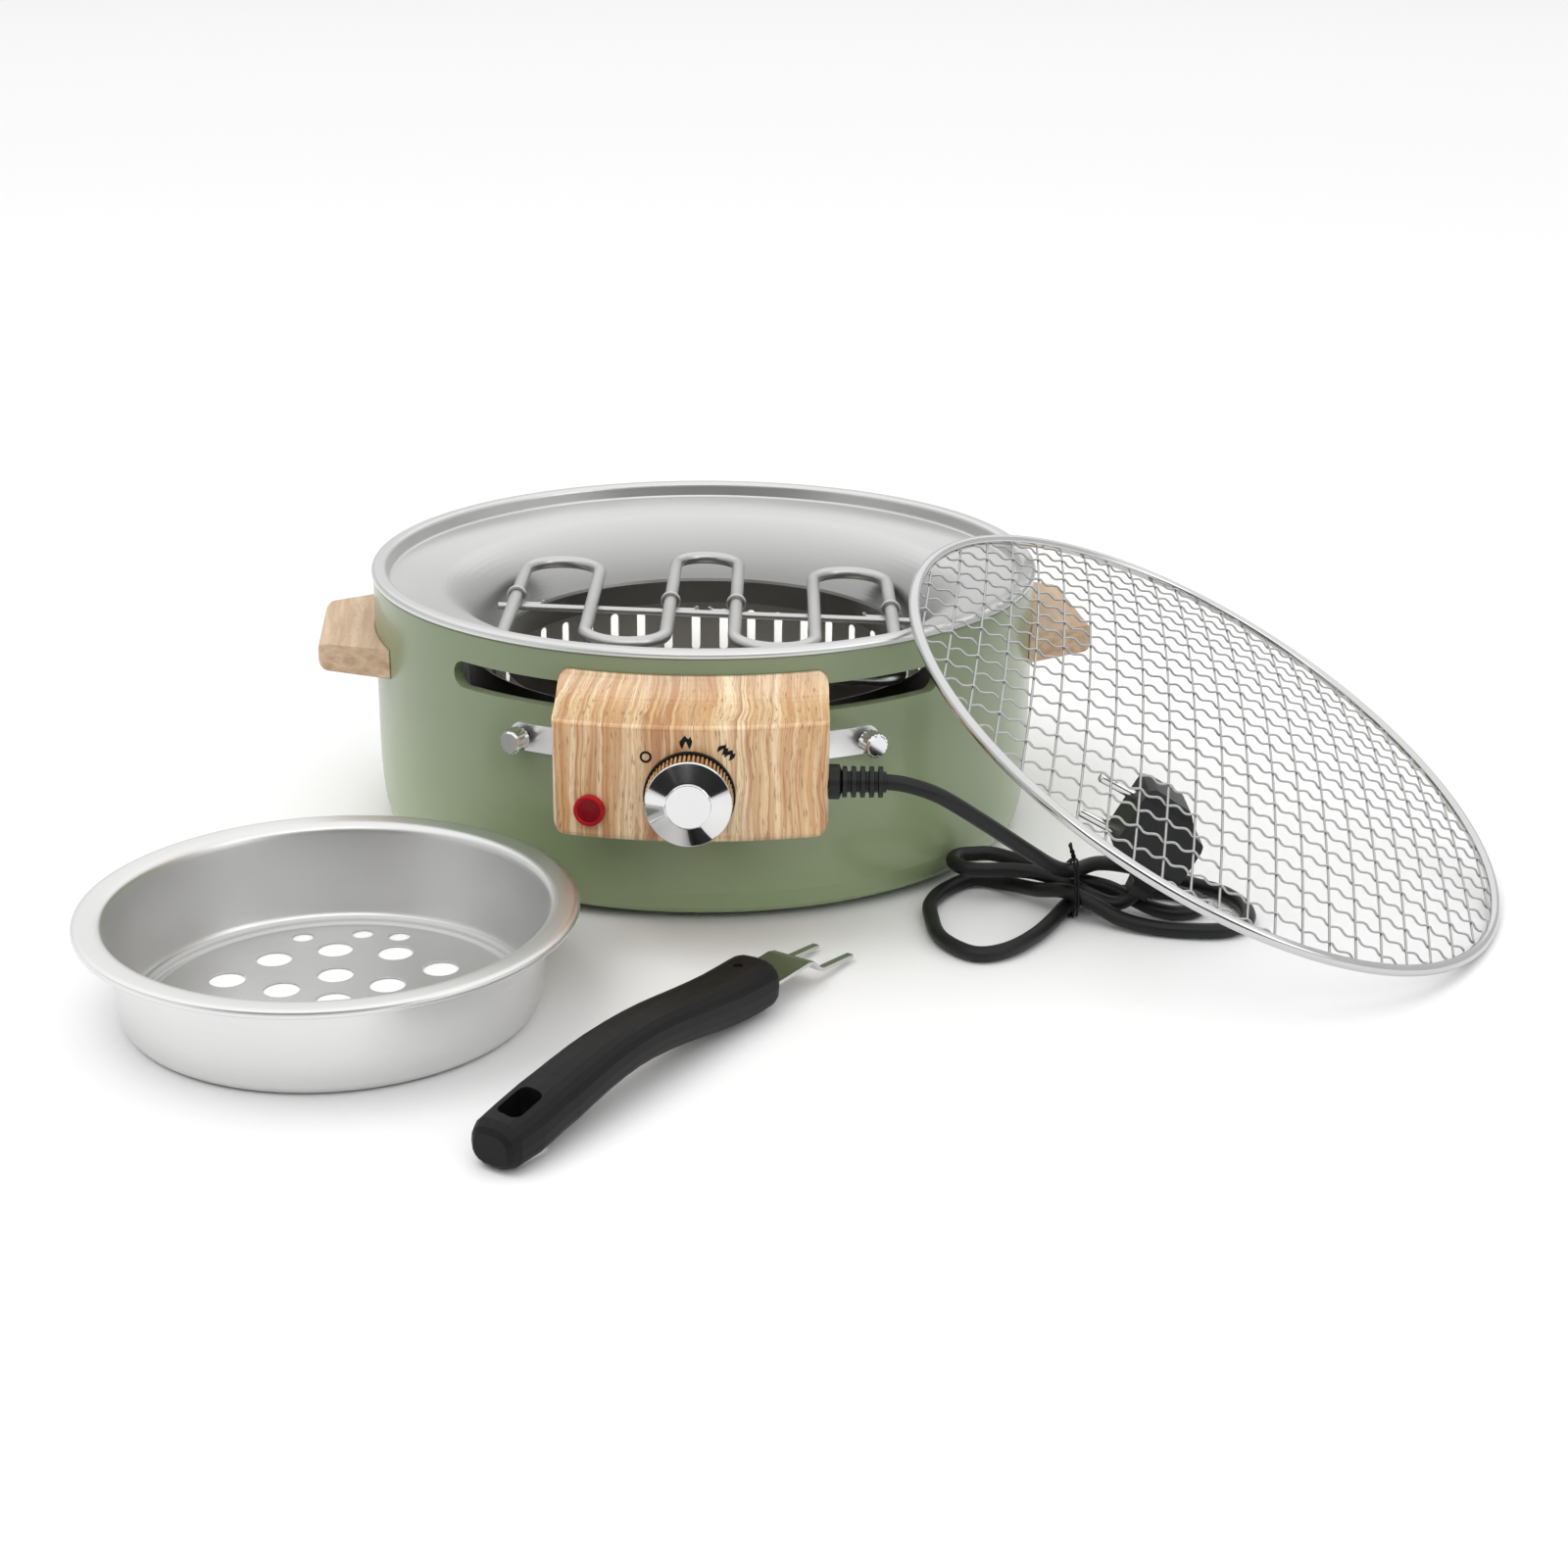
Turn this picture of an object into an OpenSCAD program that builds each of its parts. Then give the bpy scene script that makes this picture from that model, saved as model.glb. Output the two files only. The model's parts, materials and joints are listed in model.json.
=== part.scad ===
// Round electric tabletop grill with a slide-in heater unit, loose grate, charcoal bowl and lifter.
// Millimetres, +Z up. The table is z = 0, the body axis is the Z axis, the control box faces -Y.

/* [Body] */
// Outside diameter of the rolled rim
rim_d = 330; // [316:1:344]
// Height of the rim above the table
rim_z = 131; // [126:1:140]
// Gap between the table and the lower edge of the drum
foot_gap = 4; // [3:0.5:6]
// Sheet thickness of the painted drum
shell_t = 0.8; // [0.6:0.1:1.2]
// How far the drum draws in at its foot
foot_draw = 2.8; // [1:0.2:5]
// Width of the turned-in foot edge
foot_lip_w = 12; // [9:0.5:14]
// Height of the drawn-in part of the drum
draw_h = 41; // [30:1:46]
// Rise of the middle of the base plate
base_rise = 8; // [5:0.5:12]
// Width of the rubber foot ring
foot_ring_w = 14; // [10:0.5:18]

/* [Reflector pan] */
// Sheet thickness of the pan
pan_t = 0.9; // [0.6:0.1:1.2]
// Width of the rolled rim
rim_w = 7.1; // [6:0.1:9]
// Width of the sloping ledge under the grate
ledge_w = 24.5; // [21:0.5:27]
// Depth of the pan from the rim to the collar
pan_depth = 40; // [36:1:44]
// Bore of the collar in the middle
collar_d = 201; // [196:1:206]
// Height of the collar
collar_h = 12; // [6:1:16]

/* [Liner] */
// Outside diameter of the slotted liner
liner_d = 236.8; // [228:1:246]
// Height of the liner
liner_h = 74; // [64:1:80]
// Sheet thickness of the liner
liner_t = 0.8; // [0.6:0.1:1.2]
// Number of air slots
air_slots = 48; // [24:4:60]
// Width of an air slot
air_slot_w = 4.7; // [3:0.1:6]
// Length of an air slot
air_slot_h = 23.5; // [16:0.5:30]
// Height of the slots above the liner floor
air_slot_z = 32; // [24:0.5:40]

/* [Heater slot] */
// Distance of the slot middle below the rim
slot_drop = 23.9; // [23:0.1:25]
// Height of the slot
slot_h = 12.6; // [12.4:0.1:14]
// Angle from the front to the centre of a slot end
slot_half = 40.2; // [38:0.1:44]
// Depth of the turned-in slot lip
slot_lip = 4.5; // [3:0.5:6]

/* [Heating element] */
// Diameter of the element tube
tube_d = 6.5; // [5.5:0.1:6.8]
// Middle leg to the axis
leg_in = 16.5; // [14:0.5:19]
// Second leg to the axis
leg_mid = 55.5; // [52:0.5:58]
// Outer leg to the axis
leg_out = 94; // [91:0.5:95]
// Reach of the outer loops to the back
loop_side_y = 65; // [58:1:70]
// Reach of the middle loop to the back
loop_mid_y = 85; // [80:1:92]
// Reach of the front bends
bend_front_y = 77.5; // [72:0.5:84]
// Distance of a cold end from the axis
cold_x = 22.5; // [20:0.5:26]
// Bend radius of the cold ends
cold_r = 12; // [9:0.5:14]
// Sideways lean of the element
element_roll = 1.8; // [0:0.1:2]
// Diameter of the tie rod
rod_d = 3.6; // [3:0.1:4]
// Wire diameter of the clips
clip_d = 1.7; // [1.2:0.1:2]

/* [Handles] */
// Length of a handle at the drum
handle_l = 102; // [90:1:115]
// Length of a handle at its outer edge
handle_l_out = 74; // [64:1:84]
// How far a handle stands out from the rim
handle_out = 26; // [20:1:34]
// Thickness of a handle
handle_h = 14.6; // [12:0.2:18]
// Distance of the handle top below the rim
handle_drop = 29.4; // [27:0.2:34]
// Turn of the handle line about the body axis
handle_turn = 6.5; // [0:0.5:8]
// Corner radius of a handle
handle_r = 9; // [5:0.5:12]

/* [Control box] */
// Width of the box
box_w = 120; // [112:1:128]
// Depth of the box at its foot
box_depth = 42.7; // [40:0.1:48]
// Height of the front face
box_face_h = 52; // [50:0.5:56]
// Height of the crest above the slot middle
crest_up = 2; // [0:0.5:3]
// Height of the back edge above the crest
box_slope_h = 11; // [9:0.5:14]
// Wall of the box
box_wall = 2.2; // [1.6:0.1:2.6]
// Backward lean of the front face
face_tilt = 4.4; // [0:0.1:8]
// Radius of the upright front edges
box_edge_r = 9; // [5:0.5:12]
// Height of the strap
strap_h = 13; // [11:0.5:15]
// Thickness of the strap
strap_t = 1.5; // [1:0.1:2]
// Angle from the front to a thumb screw
thumb_a = 27.8; // [26.5:0.1:30]
// Diameter of a thumb screw
thumb_d = 5; // [4:0.1:6]
// Head diameter of a thumb screw
thumb_head_d = 11.5; // [10:0.5:14]
// Head height of a thumb screw
thumb_head_h = 8; // [6:0.5:10]
// Height of the collar under a thumb screw head
thumb_collar_h = 2.6; // [2:0.1:4]
// Diameter of the knob
knob_d = 38; // [34:0.5:40]
// Height of the knob body
knob_h = 11.5; // [9:0.5:14]
// Diameter of the knob shaft
shaft_d = 6; // [5:0.1:6.4]
// Diameter of the lamp lens
lens_d = 13.9; // [11:0.1:14]

/* [Cord] */
// Diameter of the cord
cord_d = 7; // [6:0.1:7.2]
// Diameter of a plug pin
pin_d = 4.6; // [4:0.1:4.8]
// Distance between the plug pins
pin_pitch = 18.5; // [17:0.1:20]
// Free length of a plug pin
pin_l = 19; // [16:0.5:20]

/* [Grate] */
// Outside diameter of the grate
grate_d = 310; // [296:1:312]
// Wire diameter of the grate ring
grate_ring_d = 5.2; // [4:0.1:6]
// Wire diameter of the mesh
mesh_d = 1.1; // [1:0.1:1.6]
// Pitch of the mesh
mesh_pitch = 13.3; // [11:0.1:20]
// Turn of the mesh in its ring
mesh_turn = 20.4; // [0:0.1:45]
// Rise of the domed mesh in its middle
mesh_rise = 11.3; // [4:0.1:16]
// Lean of the grate against the rim
lean = 28.3; // [27:0.1:32]
// Direction in which the grate leans
lean_turn = -24.85; // [-30:0.05:-20]

/* [Charcoal bowl] */
// Outside diameter of the bowl
bowl_d = 211; // [190:1:214]
// Diameter of the bowl floor
bowl_floor_d = 168; // [150:1:172]
// Height of the bowl
bowl_h = 45; // [36:0.5:50]
// Sheet thickness of the bowl
bowl_t = 0.8; // [0.6:0.1:1.2]
// Diameter of an air hole
bowl_hole_d = 16; // [10:0.5:17]
// Diameter of a lifter hole
bowl_small_d = 10; // [6:0.5:11]

/* [Lifter] */
// Length of the grip with its end cap
grip_l = 176; // [160:1:190]
// Length of the end cap
grip_cap_l = 38; // [34:1:44]
// Width of the grip
grip_w = 25; // [23:0.5:28]
// Width of the tongue
tongue_w = 21; // [18:0.5:21.5]
// Thickness of the tongue
tongue_t = 1.6; // [1:0.1:2]
// Length of the tongue outside the grip
tongue_l = 34; // [26:1:40]
// Length of the prongs
prong_l = 27; // [20:1:32]
// Width of a prong
prong_w = 3.2; // [2.4:0.1:4]

/* [Fits] */
// Gap where pieces rest on each other
seat = 0.1; // [0.06:0.01:0.14]
// Gap round a turning or screwed piece
play = 0.05; // [0.03:0.01:0.08]
// Gap between loose pieces and what they stand on
stand = 0.2; // [0.1:0.05:0.3]

/* [Hidden] */
$fn = 64;

// Body
rim_r = rim_d / 2;
wall_r = rim_r - 0.7;
wall_in = wall_r - shell_t;
foot_r = wall_r - foot_draw;
draw_z = foot_gap + draw_h;
slot_z = rim_z - slot_drop;
neck_r = rim_r - pan_t - 1.7;
lip_r = foot_r - foot_lip_w;
base_z = foot_gap + shell_t + seat;
base_t = 0.8;
base_r = lip_r + 5;
base_top_r = liner_d / 2 + 3;
foot_ring_r = lip_r - 2;
foot_ring_mid = foot_ring_r - foot_ring_w / 2;
liner_z = base_z + base_rise + base_t + seat;
liner_r = liner_d / 2;
collar_r = collar_d / 2;

// Heater
element_z = slot_z;
cold_y = -(wall_in - 45);
cold_end_y = -(wall_r + 6.5);
rod_y = -4.5;
rod_drop = tube_d / 2 + rod_d / 2 + 0.15;
clip_y = rod_y + rod_d / 2 + clip_d / 2 + seat;

// Control box
strap_r = wall_r + seat;
strap_out = strap_r + strap_t;
strap_z = slot_z - 22.1;
back_r = strap_out + seat;
back_t = 2;
back_out = back_r + back_t;
crest_z = slot_z + crest_up;
box_z = crest_z - box_face_h;
box_top = crest_z + box_slope_h;
box_r = wall_r + 0.3;
knob_z = slot_z - 28;
lamp_z = slot_z - 36.5;
lamp_inset = 16.8;
lamp_a = -asin((box_w / 2 - lamp_inset) / face_r(lamp_z));
lamp_r = lens_d / 2 - 1;
relief_y = -(wall_r + 22.7);
relief_z = slot_z - 27.6;
relief_r = cord_d / 2 + 2 * play;
relief_l = 22.4;
upper_a = 13.5;
upper_z = slot_z - 8.1;
lower_a = 6;
lower_z = box_z + 7.5;
bush_r = shaft_d / 2 + 0.9;
collar_out = strap_out + seat;
head_r0 = collar_out + thumb_collar_h + seat;
nut_t = 5;

// Grate, leaning on the rim and on the table
ring_r = grate_ring_d / 2;
ring_mid = grate_d / 2 - ring_r;
mesh_r = ring_mid - ring_r - seat - 0.15;
mesh_rows = floor(mesh_r / mesh_pitch - 0.15);
dome_r = (mesh_r * mesh_r + mesh_rise * mesh_rise) / (2 * mesh_rise);
crest = mesh_d + 0.18;
low_z = ring_r + stand;
lean_reach = (rim_z - low_z) / sin(lean) - ring_mid;
lean_gap = crest + mesh_d / 2 - 1.1 - mesh_rise * (1 - pow(lean_reach / mesh_r, 2));
touch_u = rim_r + lean_gap * sin(lean);
touch_z = rim_z + lean_gap * cos(lean);
low_u = touch_u + (touch_z - low_z) / tan(lean);
grate_u = low_u - ring_mid * cos(lean);
grate_z = low_z + ring_mid * sin(lean);
grate_side = -2.6;

// Loose pieces
bowl_pos = [-(bowl_d / 2 + 44.4), -(wall_r + 84.4), stand];
lifter_pos = [-67, -(wall_r + 229.2), 0];
lifter_turn = 56.7;
tongue_z = 12.3;

// Rounded and sheet profiles
function unit(v) = v / norm(v);
function flip(p) = [for (i = [len(p) - 1:-1:0]) p[i]];
function arc(c, r, a, b, n) = [for (i = [0:n]) c + r * [cos(a + (b - a) * i / n), sin(a + (b - a) * i / n)]];
function bezier(a, b, c, d, n) = [for (i = [0:n]) let (t = i / n, s = 1 - t)
  a * s * s * s + b * 3 * s * s * t + c * 3 * s * t * t + d * t * t * t];
function offs(p, t) = [for (i = [0:len(p) - 1])
  let (d = unit(p[min(i + 1, len(p) - 1)] - p[max(i - 1, 0)])) p[i] + t * [-d[1], d[0]]];
function sheet(p, t) = concat(offs(p, t / 2), flip(offs(p, -t / 2)));
function corner(a, b, c, r, n) = r <= 0 ? [b] :
  let (u = unit(a - b), w = unit(c - b), half = acos(u * w) / 2)
  let (o = b + unit(u + w) * (r / sin(half)), p = b + u * (r / tan(half)) - o, q = b + w * (r / tan(half)) - o)
  let (a0 = atan2(p[1], p[0]), turn = (atan2(q[1], q[0]) - a0 + 540) % 360 - 180)
  arc(o, r, a0, a0 + turn, n);
function rounded(p, r, n = 6) = [for (i = [0:len(p) - 1])
  each corner(p[(i + len(p) - 1) % len(p)], p[i], p[(i + 1) % len(p)], r[i], n)];

// Skin over a row of rings, all of triangles
function skin_faces(m, n) = concat(
  [for (i = [1:n - 2]) [0, i, i + 1]],
  [for (k = [0:m - 2]) for (i = [0:n - 1]) each
    [[k * n + i, (k + 1) * n + i, (k + 1) * n + (i + 1) % n],
     [k * n + i, (k + 1) * n + (i + 1) % n, k * n + (i + 1) % n]]],
  [for (i = [1:n - 2]) [(m - 1) * n, (m - 1) * n + i + 1, (m - 1) * n + i]]);
function smooth(p, k) = concat(
  [for (i = [0:len(p) - 2]) for (j = [0:k - 1]) let (t = j / k)
    let (a = p[max(i - 1, 0)], b = p[i], c = p[i + 1], d = p[min(i + 2, len(p) - 1)])
    b + (c - a) * (t / 2) + (a * 2 - b * 5 + c * 4 - d) * (t * t / 2) + (b * 3 - a - c * 3 + d) * (t * t * t / 2)],
  [p[len(p) - 1]]);
module skin(rings) {
  polyhedron([for (r = rings) each r], skin_faces(len(rings), len(rings[0])), convexity = 8);
}

// Placing
module radial(a, r, z) {
  rotate([0, 0, a]) translate([0, -r, z]) rotate([90, 0, 0]) children();
}
function face_r(z) = wall_r + box_depth - (z - box_z) * tan(face_tilt);
module on_face(a, z) {
  rotate([0, 0, a]) translate([0, -face_r(z), z]) rotate([90 - face_tilt, 0, 0]) children();
}
module sector(r0, r1, z0, z1, half) {
  rotate([0, 0, -90 - half]) rotate_extrude(angle = 2 * half, $fn = 180)
    translate([r0, z0]) square([r1 - r0, z1 - z0]);
}
module slot_bar(g, r0, r1) {
  sector(r0, r1, slot_z - slot_h / 2 - g, slot_z + slot_h / 2 + g, slot_half);
  for (s = [-1, 1])
    radial(s * slot_half, r0, slot_z) cylinder(r = slot_h / 2 + g, h = r1 - r0);
}

// Drum
function wall_at(z) = wall_r - foot_draw * pow(max(0, draw_z - z) / draw_h, 2);
handle_screw_a = 9.5;
handle_z = rim_z - handle_drop - handle_h / 2;
shell_line = concat(
  [[lip_r, foot_gap + shell_t / 2]],
  arc([foot_r - shell_t / 2 - 5, foot_gap + shell_t / 2 + 5], 5, -90, 0, 5),
  [for (i = [1:6]) let (z = foot_gap + 6 + (draw_h - 6) * i / 6) [wall_at(z) - shell_t / 2, z]],
  [[wall_r - shell_t / 2, rim_z - 6.4]],
  [[wall_r - shell_t / 2, rim_z - 4.6], [wall_r - shell_t / 2 - 0.4, rim_z - 3.9]],
  [[neck_r - shell_t / 2 + 0.4, rim_z - 3.4], [neck_r - shell_t / 2, rim_z - 2.7]],
  [[neck_r - shell_t / 2, rim_z - pan_t - seat]]);
module outer_shell() {
  color([0.47, 0.52, 0.39]) difference() {
    union() {
      rotate_extrude($fn = 180) polygon(sheet(shell_line, shell_t));
      slot_bar(shell_t, wall_in - slot_lip, wall_r - shell_t / 2);
    }
    slot_bar(0, wall_in - slot_lip - 2, wall_r + 5);
    for (s = [-1, 1])
      radial(s * thumb_a, wall_in - 5, strap_z) cylinder(d = thumb_d + 0.8, h = 12);
    for (h = [90, 270], s = [-1, 1])
      radial(h + handle_turn + s * handle_screw_a, wall_in - 5, handle_z) cylinder(r = 2.2, h = 12);
  }
}

// Base plate with its pressed middle, and the rubber ring under it
module base_plate() {
  line = [[base_r, base_z + base_t / 2], [foot_ring_mid - foot_ring_w / 2 - 2, base_z + base_t / 2],
    [base_top_r, base_z + base_rise + base_t / 2], [0, base_z + base_rise + base_t / 2]];
  color([0.35, 0.35, 0.36]) difference() {
    rotate_extrude($fn = 180)
      polygon(concat([for (p = line) p + [0, -base_t / 2]], flip([for (p = line) p + [0, base_t / 2]])));
    for (a = [45:90:315])
      rotate([0, 0, a]) translate([foot_ring_mid, 0, 0]) cylinder(r = 2.6, h = base_z + 5);
  }
}
module foot_ring() {
  color([0.12, 0.12, 0.12]) {
    rotate_extrude($fn = 120) translate([foot_ring_mid, 0]) polygon(rounded(
      [[-foot_ring_w / 2 + 1, 0], [foot_ring_w / 2 - 1, 0], [foot_ring_w / 2, base_z - seat],
       [-foot_ring_w / 2, base_z - seat]], [1, 1, 0, 0], 3));
    for (a = [45:90:315]) rotate([0, 0, a]) translate([foot_ring_mid, 0, 0]) {
      translate([0, 0, base_z - seat - 1]) cylinder(r = 2.5, h = base_t + 2 * seat + 2);
      translate([0, 0, base_z + base_t + seat]) cylinder(r1 = 3.6, r2 = 2, h = 3);
    }
  }
}

// Pressed pan: rolled rim, ledge, swept wall and collar, in one line
ledge_r = rim_r - rim_w - 2.4;
ledge_end = [ledge_r - ledge_w, rim_z - 12.4];
sweep_end = [collar_r + 1.7, rim_z - pan_depth + 1];
pan_line = concat(
  [[rim_r - pan_t / 2, rim_z - 3.2]],
  arc([rim_r - pan_t / 2 - 1.8, rim_z - pan_t / 2 - 1.8], 1.8, 0, 90, 5),
  arc([rim_r - rim_w + 1.8, rim_z - pan_t / 2 - 1.8], 1.8, 90, 172, 5),
  [[rim_r - rim_w - 0.4, rim_z - 6]],
  arc([rim_r - rim_w - 2.4, rim_z - 6.3], 2, 0, -80, 4),
  bezier(ledge_end, ledge_end + [-10, -1.7], sweep_end + [8, 4], sweep_end, 14),
  [[collar_r + 0.5, rim_z - pan_depth + 0.2], [collar_r, rim_z - pan_depth - 1]],
  [[collar_r, rim_z - pan_depth - 1 - collar_h]]);
pan_slot_w = 2 * (leg_out + tube_d / 2 + 8.75);
module reflector_pan() {
  color([0.8, 0.8, 0.8]) difference() {
    rotate_extrude($fn = 180) polygon(sheet(pan_line, pan_t));
    translate([-pan_slot_w / 2, -rim_r, slot_z - slot_h / 2]) cube([pan_slot_w, rim_r - 20, slot_h]);
  }
}

// Liner with its row of air slots
module slotted_liner() {
  line = concat([[0, liner_t / 2]],
    arc([liner_r - liner_t / 2 - 5, liner_t / 2 + 5], 5, -90, 0, 5),
    [[liner_r - liner_t / 2, liner_h]]);
  color([0.3, 0.28, 0.26]) translate([0, 0, liner_z]) difference() {
    rotate_extrude($fn = 144) polygon(concat([[0, 0]], [for (i = [1:len(line) - 1]) offs(line, -liner_t / 2)[i]],
      flip([for (i = [1:len(line) - 1]) offs(line, liner_t / 2)[i]]), [[0, liner_t]]));
    for (i = [0:air_slots - 1])
      radial((i + 0.5) * 360 / air_slots, liner_r - 6, air_slot_z + air_slot_h / 2)
        linear_extrude(10) {
          square([air_slot_w, air_slot_h - air_slot_w], center = true);
          for (s = [-1, 1])
            translate([0, s * (air_slot_h - air_slot_w) / 2]) circle(d = air_slot_w);
        }
  }
}

// Wooden handles, shaped in plan and from the side
module handle() {
  x0 = wall_r - 12;
  x1 = rim_r + handle_out;
  z0 = handle_z - handle_h / 2;
  difference() {
    intersection() {
      translate([0, 0, z0 - 1]) linear_extrude(handle_h + 2) polygon(rounded(
        [[x0, -handle_l / 2 - 4], [x1, -handle_l_out / 2], [x1, handle_l_out / 2], [x0, handle_l / 2 + 4]],
        [0, handle_r, handle_r, 0]));
      translate([0, handle_l, 0]) rotate([90, 0, 0]) linear_extrude(2 * handle_l) polygon(rounded(
        [[x0, z0], [x1, z0 + 0.8], [x1, z0 + handle_h - 0.8], [x0, z0 + handle_h]], [0, 4.5, 4.5, 0]));
    }
    translate([0, 0, z0 - 2]) cylinder(r = wall_r + seat, h = handle_h + 4, $fn = 180);
    for (s = [-1, 1])
      radial(90 + s * handle_screw_a, wall_r - 3, handle_z) cylinder(r = 1.95 + play, h = 19);
  }
}
module handle_right() {
  color([0.82, 0.72, 0.58]) rotate([0, 0, handle_turn]) handle();
}
module handle_left() {
  color([0.82, 0.72, 0.58]) rotate([0, 0, handle_turn + 180]) handle();
}
module handle_screws() {
  color([0.6, 0.6, 0.62]) for (h = [90, 270], s = [-1, 1])
    radial(h + handle_turn + s * handle_screw_a, wall_in - 2.2, handle_z) {
      cylinder(r = 4, h = 2.1);
      cylinder(r = 1.95, h = 2.2 + shell_t + 14);
    }
}

// Heating element, one half mirrored, of straight runs and bends
module run(p, q, d) {
  v = q - p;
  translate([p[0], p[1], 0]) rotate([0, 0, atan2(v[1], v[0])]) rotate([0, 90, 0]) cylinder(d = d, h = norm(v));
}
module bend(c, r, a, b, d) {
  translate([c[0], c[1], 0]) rotate([0, 0, min(a, b)])
    rotate_extrude(angle = abs(b - a), $fn = 64) translate([r, 0]) circle(d = d, $fn = 32);
}
module on_element() {
  translate([0, 0, element_z]) rotate([0, element_roll, 0]) children();
}
front_r = (leg_mid - leg_in) / 2;
side_r = (leg_out - leg_mid) / 2;
front_y = -bend_front_y + front_r;
mid_y = loop_mid_y - leg_in;
side_y = loop_side_y - side_r;
module element_half() {
  bend([0, mid_y], leg_in, 0, 90, tube_d);
  run([leg_in, mid_y], [leg_in, front_y], tube_d);
  bend([leg_in + front_r, front_y], front_r, 180, 360, tube_d);
  run([leg_mid, front_y], [leg_mid, side_y], tube_d);
  bend([leg_mid + side_r, side_y], side_r, 0, 180, tube_d);
  run([leg_out, side_y], [leg_out, cold_y + cold_r], tube_d);
  bend([leg_out - cold_r, cold_y + cold_r], cold_r, -90, 0, tube_d);
  run([leg_out - cold_r, cold_y], [cold_x + cold_r, cold_y], tube_d);
  bend([cold_x + cold_r, cold_y - cold_r], cold_r, 90, 180, tube_d);
  run([cold_x, cold_y - cold_r], [cold_x, cold_end_y], tube_d);
}
module heating_element() {
  color([0.72, 0.72, 0.72]) on_element() {
    element_half();
    mirror([1, 0, 0]) element_half();
  }
}
module element_tie_rod() {
  color([0.6, 0.6, 0.6]) on_element()
    translate([-leg_out - 9, rod_y, -rod_drop]) rotate([0, 90, 0]) cylinder(d = rod_d, h = 2 * leg_out + 19);
}
module element_clip() {
  ring = tube_d / 2 + clip_d / 2 + seat;
  translate([0, clip_y, 0]) rotate([90, 0, 0]) {
    bend([0, 0], ring, -30, 270, clip_d);
    run([0, -ring], [11, -ring], clip_d);
    bend([11, 2.4 - ring], 2.4, -90, -15, clip_d);
  }
}
module element_clips() {
  color([0.7, 0.7, 0.7]) on_element() {
    for (x = [-leg_out, -leg_in]) translate([x, 0, 0]) element_clip();
    for (x = [leg_in, leg_out]) translate([x, 0, 0]) mirror([1, 0, 0]) element_clip();
  }
}
module element_bushings() {
  color([0.75, 0.72, 0.6]) on_element() for (s = [-1, 1])
    translate([s * cold_x, -wall_r + 10, 0]) rotate([90, 0, 0]) difference() {
      cylinder(d = tube_d + 2.8, h = 9);
      translate([0, 0, -1]) cylinder(d = tube_d + 2 * seat, h = 11);
    }
}
module element_terminals() {
  color([0.85, 0.85, 0.82]) on_element() for (s = [-1, 1])
    translate([s * cold_x, cold_end_y - seat, 0]) rotate([90, 0, 0]) {
      cylinder(d = tube_d - 2, h = 2);
      cylinder(d = 2.4, h = 6.5);
    }
}

// Control box
// The top sweeps up from the crest of the face to the back edge, hollow like a cove
module box_form(g) {
  fr = face_r(crest_z) - 1.1 * g;
  cz = crest_z - 1.15 * g;
  r0 = box_r - (g > 0 ? 8 : 0);
  back = [box_r + 2 - g, box_top - g];
  cove = bezier([fr, cz], [fr - 0.42 * box_depth, cz + 0.5], back + [2.6, -0.75 * box_slope_h], back, 12);
  intersection() {
    rotate([0, 0, -120]) rotate_extrude(angle = 60, $fn = 180) polygon(rounded(
      concat([[r0, back[1]], [r0, box_z + g], [face_r(box_z) - g, box_z + g], [fr, cz]], [for (i = [2:12]) cove[i]]),
      concat([0, 0, 4 - g * 0.5, 2 - g * 0.5], [for (i = [2:12]) i < 12 || g > 0 ? 0 : 0.9]), 4));
    translate([0, -100, 0]) rotate([90, 0, 0]) linear_extrude(200) polygon(rounded(
      [[-box_w / 2 + g, box_z + g], [box_w / 2 - g, box_z + g], [box_w / 2 - g, box_top + 0.4 - 1.2 * g],
       [-box_w / 2 + g, box_top + 0.4 - 1.2 * g]], [8 - g, 8 - g, 6.5 - g * 0.6, 6.5 - g * 0.6]));
    linear_extrude(rim_z + 60) polygon(rounded(
      [[-box_w / 2 + g, -100], [-box_w / 2 + g, -box_side_y + g], [0, -wall_r - box_depth - 9 + g],
       [box_w / 2 - g, -box_side_y + g], [box_w / 2 - g, -100]], [0, box_edge_r - g, 0, box_edge_r - g, 0]));
  }
}
box_side_y = sqrt(pow(wall_r + box_depth, 2) - pow(box_w / 2, 2)) - 0.3;
module box_posts(r) {
  for (s = [-1, 1]) {
    radial(s * upper_a, back_out + seat, upper_z) cylinder(r = r, h = 60);
    radial(s * lower_a, back_out + seat, lower_z) cylinder(r = r, h = 60);
  }
}
module box_cover() {
  color([0.8, 0.66, 0.47]) difference() {
    union() {
      difference() {
        box_form(0);
        box_form(box_wall);
      }
      intersection() {
        box_form(box_wall / 2);
        box_posts(3.5);
      }
    }
    box_screw_shanks(1.5 + play, 13);
    sector(box_r - 6, strap_out + 0.5, strap_z - strap_h / 2 - 0.5, strap_z + strap_h / 2 + 0.5, 40);
    on_face(0, knob_z) translate([0, 0, -10]) cylinder(r = bush_r + seat, h = 20);
    on_face(lamp_a, lamp_z) translate([0, 0, -10]) cylinder(r = lamp_r + seat, h = 20);
    translate([box_w / 2 - 10, relief_y, relief_z]) rotate([0, 90, 0])
      cylinder(r = relief_r + 1.2 + seat, h = 20);
  }
}
module box_screw_shanks(r, l) {
  for (s = [-1, 1]) {
    radial(s * upper_a, back_r, upper_z) cylinder(r = r, h = back_t + l);
    radial(s * lower_a, back_r, lower_z) cylinder(r = r, h = back_t + l);
  }
}
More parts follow.
